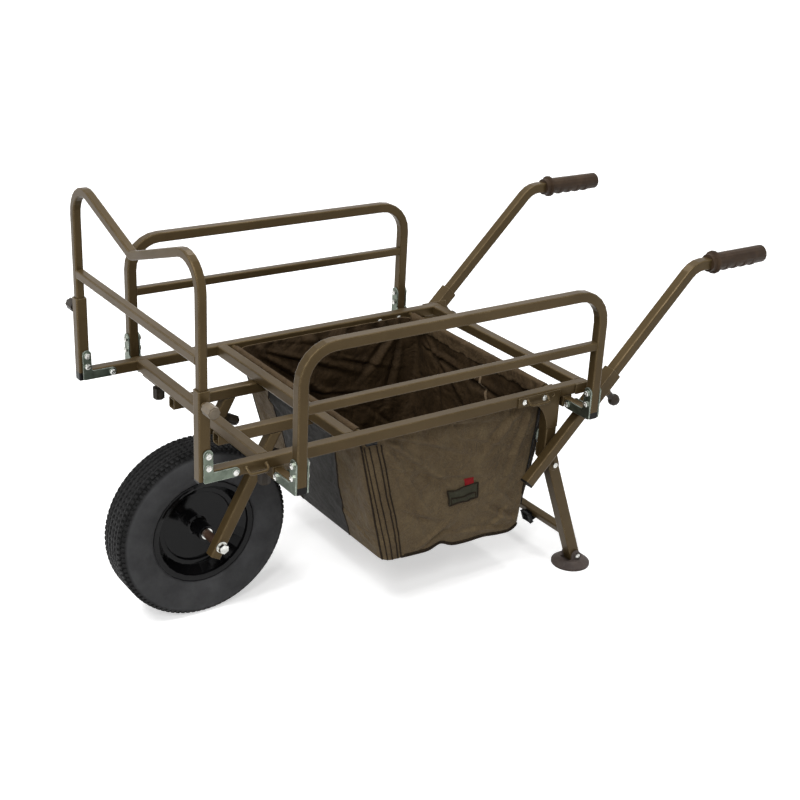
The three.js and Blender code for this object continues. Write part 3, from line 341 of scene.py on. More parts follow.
def value_noise(seed, size=64):
    grid = np.random.default_rng(seed).random((size, size)) * 2 - 1

    def at(u, v):
        u, v = np.asarray(u, float), np.asarray(v, float)
        iu, iv = np.floor(u).astype(int), np.floor(v).astype(int)
        fu, fv = u - iu, v - iv
        fu, fv = fu * fu * (3 - 2 * fu), fv * fv * (3 - 2 * fv)

        def cell(a, b):
            return grid[a % size, b % size]

        return (cell(iu, iv) * (1 - fu) * (1 - fv) + cell(iu + 1, iv) * fu * (1 - fv)
                + cell(iu, iv + 1) * (1 - fu) * fv + cell(iu + 1, iv + 1) * fu * fv)

    return at


def fold_noise(seed):
    """Soft folds: ridged noise in three sizes."""
    layers = [(value_noise(seed + i), 2.0**i, 0.55**i) for i in range(3)]

    def at(u, v):
        total = 0
        for f, k, w in layers:
            total = total + w * (1 - 2 * np.sqrt(f(u * k, v * k) ** 2 + 0.012))
        return total / 1.6

    return at


# Bag: a loose shell of cloth between the two rods, with a floor, seams and drawn folds
rod_f, rod_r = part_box("bag_rod_front"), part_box("bag_rod_rear")
front_top = (rod_f[0].x + rod_f[1].x) / 2
rear_top = (rod_r[0].x + rod_r[1].x) / 2
rod_z = (rod_f[0].z + rod_f[1].z) / 2
shift = front_top - 0.238
FLOOR = {"fx": 0.336 + shift, "rx": 0.730 + shift, "fz": 0.128, "rz": 0.104, "w": 0.245}
TOP_W = 0.268
TOP_Z = rod_z - 0.002
ROWS = 72
SIDE = 72
CORNER = 0.022


def crease(s, t, start, end, width, depth):
    """A drawn fold: a ridge with a hollow beside it, which widens from its start and fades at both ends."""
    ds, dt = end[0] - start[0], end[1] - start[1]
    length = math.hypot(ds, dt)
    u = ((s - start[0]) * ds + (t - start[1]) * dt) / length**2
    v = ((s - start[0]) * dt - (t - start[1]) * ds) / length
    wide = width * (0.55 + 0.8 * np.clip(u, 0, 1))
    fade = np.clip(u * 7, 0, 1) * np.clip((1 - u) * 2.0, 0, 1)
    return depth * fade * (np.exp(-((v / wide) ** 2)) - 0.8 * np.exp(-(((v - 1.5 * wide) / wide) ** 2)))


# Folds of each wall: start and end as shares along and up the wall, width as a share, depth in metres
SIDE_FOLDS = (
    ((0.08, 0.96), (0.72, 0.60), 0.020, 0.0065), ((0.09, 0.93), (0.60, 0.30), 0.024, 0.0080),
    ((0.10, 0.88), (0.38, 0.08), 0.022, 0.0050), ((0.10, 0.99), (0.95, 0.84), 0.016, 0.0040),
    ((0.12, 0.70), (0.50, 0.52), 0.015, 0.0035), ((0.93, 0.97), (0.62, 0.55), 0.022, 0.0060),
    ((0.94, 0.90), (0.82, 0.28), 0.020, 0.0045), ((0.99, 0.06), (0.62, 0.27), 0.018, 0.0075),
    ((0.98, 0.14), (0.70, 0.42), 0.016, 0.0050), ((0.96, 0.03), (0.48, 0.11), 0.015, 0.0070),
    ((0.86, 0.22), (0.74, 0.06), 0.014, 0.0050), ((0.20, 0.03), (0.52, 0.24), 0.020, 0.0060),
    ((0.30, 0.58), (0.80, 0.47), 0.018, 0.0035), ((0.52, 0.80), (0.92, 0.62), 0.016, 0.0040),
    ((0.13, 0.40), (0.44, 0.20), 0.016, 0.0040), ((0.45, 0.97), (0.56, 0.66), 0.016, 0.0045),
)
END_FOLDS = (
    ((0.06, 0.96), (0.55, 0.45), 0.022, 0.0060), ((0.94, 0.96), (0.45, 0.50), 0.022, 0.0060),
    ((0.95, 0.84), (0.10, 0.76), 0.018, 0.0080), ((0.50, 0.97), (0.56, 0.40), 0.018, 0.0040),
    ((0.04, 0.10), (0.40, 0.34), 0.018, 0.0050), ((0.96, 0.08), (0.60, 0.30), 0.018, 0.0050),
    ((0.22, 0.95), (0.30, 0.30), 0.016, 0.0045), ((0.78, 0.95), (0.70, 0.30), 0.016, 0.0045),
)
# How much of the folds each wall takes, in the order front, near, rear, far
FOLD_SHARE = (0.6, 1.45, 1.3, 1.7)
SMALL_FOLDS = (16, 40, 30, 40)


def corners(t):
    """Front x, rear x and half width at height share t, from the floor at 0 to the top at 1."""
    fx = FLOOR["fx"] + (front_top + 0.004 - FLOOR["fx"]) * t
    rx = FLOOR["rx"] + (rear_top - 0.004 - FLOOR["rx"]) * t
    return fx, rx, FLOOR["w"] + (TOP_W - FLOOR["w"]) * t


def wall_points(side, s, t):
    """Points of one wall for grids of shares along it and up it."""
    fx, rx, w = corners(t)
    if side == 0:
        x, y, n = fx, w - 2 * w * s, (-1, 0)
    elif side == 1:
        x, y, n = fx + (rx - fx) * s, -w, (0, -1)
    elif side == 2:
        x, y, n = rx, -w + 2 * w * s, (1, 0)
    else:
        x, y, n = rx - (rx - fx) * s, w, (0, 1)
    x, y = x + 0 * s, y + 0 * s
    # round the four upright corners
    cx = np.clip(x, fx + CORNER, rx - CORNER)
    cy = np.clip(y, -w + CORNER, w - CORNER)
    dx, dy = x - cx, y - cy
    both = (np.abs(dx) > 1e-9) & (np.abs(dy) > 1e-9)
    k = np.where(both, CORNER / np.maximum(np.hypot(dx, dy), 1e-9), 1.0)
    x, y = cx + dx * k, cy + dy * k
    share = np.clip((x - FLOOR["fx"]) / (FLOOR["rx"] - FLOOR["fx"]), 0, 1)
    base = FLOOR["fz"] + (FLOOR["rz"] - FLOOR["fz"]) * share
    z = base + (TOP_Z - base) * t
    edge = np.minimum(s, 1 - s) * 2
    inner = np.clip(edge * 8, 0, 1) * np.clip(t * 9, 0, 1) * np.clip((1 - t) * 9, 0, 1)
    # soft folds of three sizes, then the drawn folds
    big, small = fold_noise(11 + 7 * side), fold_noise(53 + 5 * side)
    depth = (0.0042 * big(s * 2.6 + t * 1.5, t * 2.2 - s * 0.9) + 0.0018 * small(s * 7 - t * 3 + 9, t * 6 + 4)
             + 0.0008 * small(s * 19 + t * 8, t * 17 - s * 5)) * inner
    table = END_FOLDS if side in (0, 2) else SIDE_FOLDS
    for a, b, width, deep in table:
        if side == 3:
            a, b = (1 - a[0], a[1]), (1 - b[0], b[1])
        depth = depth + crease(s, t, a, b, width, deep) * FOLD_SHARE[side] * inner
    # small creases, placed by a seeded generator
    dice = np.random.default_rng(5 + side)
    for _ in range(SMALL_FOLDS[side]):
        a = dice.uniform(0.06, 0.94), dice.uniform(0.06, 0.96)
        turn, reach = dice.uniform(-1.1, 1.1) - 0.5, dice.uniform(0.10, 0.30)
        b = a[0] + reach * math.cos(turn), a[1] + reach * math.sin(turn)
        depth = depth + crease(s, t, a, b, dice.uniform(0.007, 0.013), dice.uniform(0.0012, 0.0030)) * inner
    # the cloth sags out low down and draws in between its hung corners
    depth = depth + 0.009 * edge * np.sin(np.pi * np.minimum(1, t * 1.5)) * (1.0 if side in (1, 3) else 0.6)
    depth = depth - 0.006 * edge * np.sin(np.pi * t) * t
    if side in (1, 3):
        way = s if side == 1 else 1 - s
        # the elastic top edge gathers
        gather = np.clip((t - 0.76) / 0.24, 0, 1) ** 1.2
        rumple = value_noise(91 + side)
        wave = 1.3 * rumple(way * 34 + 3 * t, t * 5) + 0.9 * rumple(way * 71 + 9, t * 11 + 5)
        hung = np.clip(edge * 8, 0, 1) * np.clip((t - 0.88) / 0.12, 0, 1)
        fade = np.clip(edge * 6, 0, 1) * np.clip((1 - t) / 0.05, 0, 1)
        depth = depth + (0.0085 * wave - 0.003) * gather * fade
        # the top edge is sewn on under the rail
        depth = depth + 0.005 * hung
        z = z + 0.002 * hung
        # the lower edge waves, and its rear end is drawn up
        low = (1 - t) ** 4
        z = z + low * (0.014 * np.exp(-(((way - 0.39) / 0.06) ** 2))
                       + 0.004 * np.exp(-(((way - 0.7) / 0.08) ** 2))
                       + 0.030 * np.clip((way - 0.88) / 0.12, 0, 1) ** 2)
        bulge = np.clip((way - 0.94) / 0.06, 0, 1) ** 2
    elif side == 2:
        z = z + (1 - t) ** 4 * 0.030 * np.clip((0.10 - np.minimum(s, 1 - s)) / 0.10, 0, 1) ** 2
        bulge = np.exp(-((np.minimum(s, 1 - s) / 0.10) ** 2))
    else:
        bulge = 0 * s
    x, y = x + n[0] * depth, y + n[1] * depth
    # the rear corners hang out behind the side walls and taper down
    swell = np.clip((t - 0.22) / 0.4, 0, 1) * (1 - np.clip((t - 0.9) / 0.1, 0, 1))
    return np.stack((x + 0.019 * bulge * swell, y, z), axis=-1)


def bag_shell():
    """Grid points round the four walls: columns go front, near, rear, far."""
    s, t = np.meshgrid(np.arange(SIDE) / SIDE, np.arange(ROWS + 1) / ROWS)
    return np.concatenate([wall_points(side, s, t) for side in range(4)], axis=1)


def flat_area(points, faces):
    total = 0.0
    for f in faces:
        for k in range(1, len(f) - 1):
            a, b, c = (np.array(points[i]) for i in (f[0], f[k], f[k + 1]))
            total += np.linalg.norm(np.cross(b - a, c - a)) / 2
    return float(total)


def make_bag():
    verts = bag_shell()
    n = verts.shape[1]
    points = verts.reshape(-1, 3).tolist()
    faces, mats = [], []
    for r in range(ROWS):
        edge = 0.23 + 0.058 * (1 - r / ROWS)
        for c in range(n):
            d = (c + 1) % n
            faces.append((r * n + c, r * n + d, (r + 1) * n + d, (r + 1) * n + c))
            mats.append(1 if c < SIDE and edge < (c + 0.5) / SIDE < 1 - edge else 0)
    # floor: rings that shrink to its middle, with a shallow sag
    rings = 10
    base = verts[0]
    centre = base.mean(0)
    last = list(range(n))
    sag = fold_noise(77)
    for k in range(1, rings + 1):
        share = k / rings
        start = len(points)
        if k == rings:
            points.append([centre[0], centre[1], centre[2] + 0.002])
            for c in range(n):
                faces.append((last[c], start, last[(c + 1) % n]))
                mats.append(0)
            break
        for c in range(n):
            p = base[c] + (centre - base[c]) * share
            drop = 0.004 * sag(p[0] * 14, p[1] * 14) * min(1, share * 4)
            points.append([p[0], p[1], p[2] + abs(float(drop))])
        for c in range(n):
            d = (c + 1) % n
            faces.append((last[c], start + c, start + d, last[d]))
            mats.append(0)
        last = list(range(start, start + n))
    area = flat_area(points, faces)
    # inner faces take the darker inner cloth, which also paints the shade inside the bag
    ob = piece("bag_body", points, faces, ["cloth", "pvc", "cloth_in_shaded", "cloth_in_shaded"], "deck", 180)
    for poly, m in zip(ob.data.polygons, mats):
        poly.material_index = m
    mod = ob.modifiers.new("thick", "SOLIDIFY")
    mod.thickness = 0.0022
    mod.offset = -1
    mod.material_offset = 2
    mod.material_offset_rim = 0
    sub = ob.modifiers.new("soft", "SUBSURF")
    sub.levels = sub.render_levels = 1
    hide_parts("bag")
    return ob, verts, area


bag, shell, bag_area = make_bag()


def on_shell(side, s, t, lift=0.0):
    """A point on the bag's outer face and its outward normal."""
    n = shell.shape[1]
    c = side * SIDE + s * SIDE
    r = t * ROWS
    c0, r0 = int(math.floor(c)) % n, min(int(math.floor(r)), ROWS - 1)
    fc, fr = c - math.floor(c), r - r0
    c1 = (c0 + 1) % n
    p = (shell[r0, c0] * (1 - fc) + shell[r0, c1] * fc) * (1 - fr) + (
        shell[r0 + 1, c0] * (1 - fc) + shell[r0 + 1, c1] * fc) * fr
    du = shell[r0, (c0 + 2) % n] - shell[r0, (c0 - 1) % n]
    dv = shell[min(r0 + 2, ROWS), c0] - shell[max(r0 - 1, 0), c0]
    nrm = np.cross(du, dv)
    nrm = nrm / np.linalg.norm(nrm)
    return Vector(p + nrm * lift), Vector(nrm)


def shell_strip(name, points, width, thick, mat, lift=0.0012):
    path, normals = zip(*[on_shell(side, s, t, lift) for side, s, t in points])
    sewn.append(ribbon(name, path, normals, width, thick, mat, "deck"))
    return sewn[-1]


def line(a, b, steps):
    """Evenly spaced steps between two points of any dimension."""
    return [tuple(a[i] + (b[i] - a[i]) * k / steps for i in range(len(a))) for k in range(steps + 1)]


def turned(side, s):
    """The share along a side wall that lies s from its front."""
    return s if side == 1 else 1 - s


sewn = []
# Pairs of piping beside the front corners, which spread towards the floor
for label, top_s in (("a", 0.0), ("b", 0.03), ("c", 0.068), ("d", 0.09)):
    for way, side in (("near", 1), ("far", 3)):
        path = [(side, turned(side, s), t)
                for s, t in line((top_s + 0.028, 0.012), (top_s + 0.002, 0.88), 44)]
        shell_strip(f"bag_piping_{label}_{way}", path, 0.0026, 0.0022, "piping")
for way, side, s in (("near", 0, 0.985), ("far", 0, 0.015)):
    path = [(side, s, t) for (t,) in line((0.012,), (0.9,), 44)]
    shell_strip(f"bag_piping_front_{way}", path, 0.0036, 0.0026, "piping")
for way, side in (("near", 1), ("far", 3)):
    path = [(side, turned(side, s), 0.016) for (s,) in line((0.12,), (0.97,), 60)]
    shell_strip(f"bag_piping_low_{way}", path, 0.0042, 0.003, "piping")
    # the seam above the lower piping
    path = [(side, turned(side, s), 0.030) for (s,) in line((0.14,), (0.95,), 60)]
    shell_strip(f"bag_seam_low_{way}", path, 0.0018, 0.0016, "piping", 0.0004)
for label, s0, s1 in (("near", 0.712, 0.77), ("far", 0.288, 0.23)):
    shell_strip(f"panel_seam_{label}", [(0, s, t) for s, t in line((s0, 0.01), (s1, 0.97), 44)], 0.0035, 0.0018,
                "piping", 0.0006)
# The dark closure down each rear corner, with its slider on the near one
for way, side in (("near", 1), ("far", 3)):
    steps = line((0.972, 0.26, 0.006), (0.982, 0.93, 0.022), 40)
    path, normals = zip(*[on_shell(side, turned(side, s), t, 0.0016) for s, t, _ in steps])
    widths = [w for _, _, w in steps]
    sewn.append(ribbon(f"corner_closure_{way}", path, normals, widths, 0.003, "piping", "deck"))
    for k in (-1, 1):
        path, normals = zip(*[on_shell(side, turned(side, s + k * 0.009), t, 0.003) for s, t, _ in steps[12:]])
        name = f"closure_edge_{way}_{'ab'[k > 0]}"
        sewn.append(ribbon(name, path, normals, 0.0024, 0.002, "webbing", "deck"))
path, normals = zip(*[on_shell(1, 0.978, t, 0.006) for (t,) in line((0.66,), (0.735,), 6)])
widths = [0.004, 0.007, 0.008, 0.008, 0.008, 0.007, 0.004]
sewn.append(ribbon("closure_pull", path, normals, widths, 0.003, "zinc", "deck"))
shell_strip("rear_tape_in", [(2, s, t) for s, t in line((0.30, 0.62), (0.44, 0.87), 30)], 0.007, 0.0012,
            "tape", -0.0036)

# Hems round the two rods: flat gathered sleeves of cloth with the rod in their upper edge
HEM_DROP = 0.024


def hem(name, x, lean, rough):
    count, sides = 170, 18
    noise = fold_noise(31 if lean > 0 else 47)
    rumple = value_noise(63 if lean > 0 else 67)
    verts, faces = [], []
    reach = TOP_W - 0.003
    for i in range(count + 1):
        y = -reach + 2 * reach * i / count
        pucker = 1.2 * float(rumple(y * 62 + 40, 0.3)) + 0.9 * float(rumple(y * 137 + 50, 4.2))
        for k in range(sides):
            a = 2 * math.pi * k / sides
            low = max(0.0, -math.sin(a))
            flat = 0.0086 - 0.0036 * low
            swell = rough * (0.0013 * pucker * (0.3 + low) + 0.0014 * float(noise(y * 26 + 20, k / sides * 3)))
            across = (flat + swell) * math.cos(a) + lean * 0.010 * low**1.5
            up = 0.0088 * math.sin(a) if math.sin(a) > 0 else -HEM_DROP * low**1.3
            verts.append((x + across, y, rod_z + up + 0.0018 * rough * pucker * low))
    for i in range(count):
        for k in range(sides):
            a, b = i * sides + k, i * sides + (k + 1) % sides
            faces.append((a, b, b + sides, a + sides))
    ob = piece(name, verts, faces, ["cloth_hem", "cloth_in_shaded"], "deck", 180)
    mod = ob.modifiers.new("thick", "SOLIDIFY")
    mod.thickness = 0.0014
    mod.offset = -1
    sub = ob.modifiers.new("soft", "SUBSURF")
    sub.levels = sub.render_levels = 1
    sewn.append(ob)
    side = 1 if lean > 0 else -1
    path = [Vector((x + lean * 0.0105 - side * 0.0062, y, rod_z - HEM_DROP * 0.72)) for (y,) in
            line((-reach + 0.006,), (reach - 0.006,), 60)]
    sewn.append(ribbon(name + "_stitch", path, [Vector((-side, 0, 0))] * len(path), 0.0016, 0.0012, "piping",
                       "deck"))


hem("bag_hem_front", front_top, 1, 0.8)
hem("bag_hem_rear", rear_top, -1, 1.7)

# Bare patch and plain tag on the near wall


def wall_patch(name, s0, s1, t0, t1, lean, mat, thick):
    """A small sewn patch with a raised border that follows the near wall."""
    nu, nv = 20, 14
    verts, faces = [], []
    for layer in (0, 1):
        for j in range(nv + 1):
            for i in range(nu + 1):
                u, v = i / nu, j / nv
                near_rim = min(min(u, 1 - u) * nu, min(v, 1 - v) * nv)
                lift = 0.0006 + layer * thick * (0.35 if near_rim < 0.5 else 1.0 if near_rim < 2.5 else 0.62)
                verts.append(on_shell(1, s0 + (s1 - s0) * u, t0 + (t1 - t0) * v + lean * (u - 0.5), lift)[0])
    m = (nu + 1) * (nv + 1)
    for j in range(nv):
        for i in range(nu):
            a = j * (nu + 1) + i
            faces.append((a, a + nu + 1, a + nu + 2, a + 1))
            faces.append((m + a, m + a + 1, m + a + nu + 2, m + a + nu + 1))
    ring = ([i for i in range(nu)] + [nu + j * (nu + 1) for j in range(nv)]
            + [nv * (nu + 1) + i for i in range(nu, 0, -1)] + [j * (nu + 1) for j in range(nv, 0, -1)])
    for k, a in enumerate(ring):
        b = ring[(k + 1) % len(ring)]
        faces.append((a, b, m + b, m + a))
    sewn.append(piece(name, verts, faces, [mat], "deck", 50))


PATCH = (0.446, 0.634, 0.334, 0.442, 0.02)
wall_patch("bare_patch", *PATCH, "patch", 0.0030)
wall_patch("plain_tag", 0.553, 0.610, 0.446, 0.490, 0.004, "tag", 0.0022)


def border(name, s0, s1, t0, t1, lean, inset):
    """Piping round a patch, a little inside its edge."""
    ring = [(inset, inset), (1 - inset, inset), (1 - inset, 1 - inset), (inset, 1 - inset), (inset, inset)]
    steps = [p for a, b in zip(ring, ring[1:]) for p in line(a, b, 12)[:-1]] + [ring[0]]
    path, normals = zip(*[on_shell(1, s0 + (s1 - s0) * u, t0 + (t1 - t0) * v + lean * (u - 0.5), 0.0036)
                          for u, v in steps])
    sewn.append(ribbon(name, path, normals, 0.0026, 0.0016, "piping", "deck"))


border("patch_border", *PATCH, 0.0)
border("patch_stitch", PATCH[0], PATCH[1], PATCH[2], PATCH[2] + 0.045, PATCH[4], 0.08)

# Clips, buckle and webbing


def bar_box(bm, centre, axes, size):
    """A bevelled bar in the mesh bm: its centre, three axes and its size along them."""
    made = bmesh.ops.create_cube(bm, size=1.0)["verts"]
    frame_axes = Matrix(axes).transposed()
    for v in made:
        v.co = Vector(centre) + frame_axes @ Vector((v.co.x * size[0], v.co.y * size[1], v.co.z * size[2]))
    edges = list({e for v in made for e in v.link_edges})
    bmesh.ops.bevel(bm, geom=edges, offset=min(size) * 0.28, segments=2, profile=0.6, affect="EDGES")


def buckle(name, centre, out, along, size, body, bars=3):
    """A plastic buckle: a frame with cross bars that the webbing goes through, and a tongue."""
    out, along = Vector(out).normalized(), Vector(along).normalized()
    side = out.cross(along).normalized()
    along = side.cross(out).normalized()
    axes = (along, side, out)
    length, width, thick = size
    bm = bmesh.new()
    for k in (-1, 1):
        spot = Vector(centre) + side * (k * (width / 2 - thick * 0.2))
        bar_box(bm, spot, axes, (length, thick * 0.55, thick))
    for k in range(bars):
        off = -length / 2 + thick * 0.3 + (length - thick * 0.6) * k / (bars - 1)
        bar_box(bm, Vector(centre) + along * off, axes, (thick * 0.6, width, thick * 0.8))
    bar_box(bm, Vector(centre) - out * thick * 0.18, axes, (length * 0.62, width * 0.5, thick * 0.5))
    mesh = bpy.data.meshes.new(name)
    bm.to_mesh(mesh)
    bm.free()
    mesh.materials.append(M["buckle"])
    ob = bpy.data.objects.new(name, mesh)
    scene.collection.objects.link(ob)
    shade(ob, 35)
    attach(ob, body)
    return ob


scene = bpy.context.scene
spot, normal = on_shell(1, 0.045, 0.945, 0.006)
buckle("corner_clip", spot, normal, (0, 0, 1), (0.026, 0.022, 0.009), "deck")
path, normals = zip(*[on_shell(1, 0.045, t, 0.003) for (t,) in line((0.90,), (0.995,), 8)])
ribbon("corner_clip_strap", path, normals, 0.016, 0.0016, "webbing", "deck")
spot, normal = on_shell(2, 0.045, 0.36, 0.008)
buckle("rear_clip", spot, normal, (0, 0, 1), (0.030, 0.024, 0.010), "deck")
path, normals = zip(*[on_shell(2, 0.045, t, 0.003) for (t,) in line((0.16,), (0.56,), 14)])
ribbon("rear_clip_strap", path, normals, 0.018, 0.0016, "webbing", "deck")

# Webbing round the crossbar of the legs, found from the part of the node between the legs
middle = [v.co for v in nodes["leg_frame"].data.vertices if abs(v.co.y) < 0.262]
cross_low = Vector([min(v[i] for v in middle) for i in range(3)])
cross_high = Vector([max(v[i] for v in middle) for i in range(3)])
cross = (cross_low + cross_high) / 2
LEG_LEAN = math.radians(20.5)
CROSS_HALF = 0.0106


def loop_strap(name, y, width):
    """A turn of webbing round the square crossbar of the legs."""
    corner = 0.004
    along = Vector((math.cos(LEG_LEAN), 0, math.sin(LEG_LEAN)))
    rise = Vector((-math.sin(LEG_LEAN), 0, math.cos(LEG_LEAN)))
    path, normals = [], []
    for quarter, (sx, sz) in enumerate(((1, -1), (1, 1), (-1, 1), (-1, -1))):
        for k in range(4):
            a = math.radians(-90 + 90 * quarter + 30 * k)
            normal = along * math.cos(a) + rise * math.sin(a)
            centre = along * (sx * (CROSS_HALF - corner)) + rise * (sz * (CROSS_HALF - corner))
            path.append(Vector((cross.x, y, cross.z)) + centre + normal * corner)
            normals.append(normal)
    path.append(path[0])
    normals.append(normals[0])
    ribbon(name, path, normals, width, 0.0016, "webbing", "leg_set")
    return along, rise


STRAP_Y = -0.160
along, rise = loop_strap("cross_strap", STRAP_Y, 0.025)
buckle("cross_buckle", Vector((cross.x, STRAP_Y, cross.z)) - along * (CROSS_HALF + 0.0055), -along, rise,
       (0.026, 0.030, 0.008), "leg_set")

# Bright domed heads on the bolts, and the CAD heads under them in steel


def dome(name, centre, normal, radius, height, body):
    """A low round head with a flange and a shallow socket."""
    profile = ((1.0, 0.0), (1.0, 0.22), (0.93, 0.36), (0.80, 0.62), (0.62, 0.88), (0.44, 1.0), (0.30, 1.0),
               (0.24, 0.8), (0.20, 0.45))
    normal = Vector(normal).normalized()
    side = normal.orthogonal().normalized()
    other = normal.cross(side)
    count = 28
    verts = []
    for r, h in profile:
        for k in range(count):
            a = 2 * math.pi * k / count
            verts.append(Vector(centre) + (side * math.cos(a) + other * math.sin(a)) * (r * radius)
                         + normal * (h * height))
    faces = []
    for j in range(len(profile) - 1):
        for k in range(count):
            a, b = j * count + k, j * count + (k + 1) % count
            faces.append((a, b, b + count, a + count))
    last = (len(profile) - 1) * count
    faces += [tuple(range(last, last + count)), tuple(range(count))]
    return piece(name, verts, faces, ["steel"], body, 40)


def steel_near(node, places, reach=0.0082):
    """Gives the faces of a node that lie near these places the bolt steel."""
    mesh = nodes[node].data
    mesh.materials.append(M["steel"])
    for poly in mesh.polygons:
        if any(max((mesh.vertices[v].co - p).length for v in poly.vertices) < reach for p in places):
            poly.material_index = len(mesh.materials) - 1


def heads(node, direction):
    """Centres of the flat tops of a node's bolt heads that look along a direction."""
    direction = Vector(direction)
    mesh = nodes[node].data
    group = {}
    flat = [p for p in mesh.polygons if p.normal.dot(direction) > 0.99]

    def root(v):
        while group.setdefault(v, v) != v:
            v = group[v]
        return v

    key = {v.index: tuple(round(c, 5) for c in v.co) for v in mesh.vertices}
    for p in flat:
        first = root(key[p.vertices[0]])
        for v in p.vertices[1:]:
            group[root(key[v])] = first
    parts = {}
    for p in flat:
        parts.setdefault(root(key[p.vertices[0]]), []).append(p)
    found = []
    for faces in parts.values():
        size = sum(p.area for p in faces)
        if HEAD_AREA[0] < size < HEAD_AREA[1]:
            spot = sum((p.center * p.area for p in faces), Vector()) / size
            # a facet of a rim can have the same area, but its corners lie further out
            if max((mesh.vertices[v].co - spot).length for p in faces for v in p.vertices) < HEAD_REACH:
                found.append(spot)
    return found


# The area and corner distance that tell a hexagon head of 6 to 6.5 mm radius, and the dome that covers it
HEAD_AREA = (0.000085, 0.000116)
HEAD_REACH = 0.007
DOME_RADIUS = 0.0064
DOME_HEIGHT = 0.0022
for way, k in SIDES:
    for node, body, looks in (
        (f"front_bracket_{way}", "front_bar_lower", ((0, k, 0), (0, -k, 0))),
        (f"side_bracket_front_{way}", f"side_guard_{way}", ((-1, 0, 0), (1, 0, 0))),
        (f"side_bracket_rear_{way}", f"side_guard_{way}", ((-1, 0, 0), (1, 0, 0))),
        (f"leg_bracket_{way}", "deck", ((0, k, 0), (0, -k, 0))),
        (f"mud_foot_{way}", f"foot_{way}", ((0, k, 0), (0, -k, 0))),
    ):
        places = [(spot, look) for look in looks for spot in heads(node, look)]
        steel_near(node, [spot for spot, _ in places])
        for i, (spot, look) in enumerate(places):
            dome(f"bolt_head_{node}_{i}", spot - Vector(look) * 0.0002, look, DOME_RADIUS, DOME_HEIGHT,
                 body)

# Tyre with its tread cut: zigzag ribs round the crown and two rows of blocks on each shoulder
TURNS = 96
STEPS = 6


def through(points, count):
    """Points spaced evenly along a smooth curve through the given ones."""
    pts = np.array(points, float)
    padded = np.vstack((2 * pts[0] - pts[1], pts, 2 * pts[-1] - pts[-2]))
    out = []
    for i in range(1, len(padded) - 2):
        p0, p1, p2, p3 = padded[i - 1 : i + 3]
        for u in np.linspace(0, 1, 24, endpoint=False):
            out.append(0.5 * (2 * p1 + (p2 - p0) * u + (2 * p0 - 5 * p1 + 4 * p2 - p3) * u * u
                              + (3 * p1 - p0 - 3 * p2 + p3) * u**3))
    out.append(pts[-1])
    out = np.array(out)
    run = np.concatenate(([0], np.cumsum(np.linalg.norm(np.diff(out, axis=0), axis=1))))
    places = np.linspace(0, run[-1], count)
    return np.stack([np.interp(places, run, out[:, k]) for k in (0, 1)], axis=1)


def make_tyre():
    low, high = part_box("tyre")
    radius, half = (high.z - low.z) / 2, (high.y - low.y) / 2
    rim = [(math.hypot(v.co.x - axle.x, v.co.z - axle.z), abs(v.co.y)) for v in nodes["tyre"].data.vertices]
    bead_r = min(r for r, _ in rim)
    bead_y = max(y for r, y in rim if r < bead_r + 0.0005)
    lip_r = bead_r + 0.0105
    wall = radius - lip_r
    shares = ((0.04, 0.82), (0.3, 0.97), (0.55, 1.0), (0.82, 0.95), (0.96, 0.8))
    side = [(lip_r + h * wall, w * half) for h, w in shares]
    arc = through([*((r, -y) for r, y in side), (radius, -0.62 * half), (radius, 0), (radius, 0.62 * half),
                   *reversed(side)], 118)
    arc[:, 0] = np.minimum(arc[:, 0], radius)
    step = np.gradient(arc, axis=0)
    step /= np.linalg.norm(step, axis=1)[:, None]
    inward = np.stack((-step[:, 1], step[:, 0]), axis=1)
    gap = np.linalg.norm(np.diff(arc, axis=0), axis=1)
    run = np.concatenate(([0], np.cumsum(gap)))
    sigma = run - run[-1] / 2
    turn = np.arange(TURNS * STEPS) / (TURNS * STEPS)
    phase = (turn * TURNS)[:, None] % 1.0
    zig = (np.abs(phase - 0.5) * 4 - 1)
    s = sigma[None, :]
    a = np.abs(s)
    deep = np.zeros((len(turn), len(arc)))

    def cut(where, depth):
        nonlocal deep
        deep = np.maximum(deep, np.where(where, depth, 0.0))

    for centre in (0.0068, 0.0190):
        for way in (-1, 1):
            cut(np.abs(s - way * centre - 0.0020 * zig) < 0.0017, 0.0042)
    cut(np.abs(a - 0.0295) < 0.0015, 0.0042)
    cut((phase < 0.17) & (a < 0.0285) & (np.abs(a - 0.0129) > 0.0022), 0.0014)
    cut((phase > 0.62) & (a > 0.031) & (a < 0.0405), 0.0040)
    cut(np.abs(a - 0.0412) < 0.0012, 0.0030)
    cut(((phase + 0.5) % 1.0 > 0.62) & (a > 0.042) & (a < 0.0510), 0.0036)
    r = arc[None, :, 0] + inward[None, :, 0] * deep
    y = arc[None, :, 1] + inward[None, :, 1] * deep
    bead, lip = (np.full((len(turn), 1), v) for v in (bead_r, lip_r))
    foot = np.full((len(turn), 2), bead_y)
    r = np.concatenate((bead, lip, r, lip, bead), axis=1)
    y = np.concatenate((-foot, y, foot), axis=1)
    angle = turn[:, None] * 2 * math.pi
    verts = np.stack((axle.x + r * np.sin(angle), y + 0 * angle, axle.z + r * np.cos(angle)), axis=-1)
    m, n = r.shape
    faces = []
    for i in range(m):
        j = (i + 1) % m
        for k in range(n):
            b = (k + 1) % n
            faces.append((i * n + k, i * n + b, j * n + b, j * n + k))
    ob = piece("tyre_tread", verts.reshape(-1, 3), faces, ["tyre"], "wheel", 38)
    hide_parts("tyre")


make_tyre()

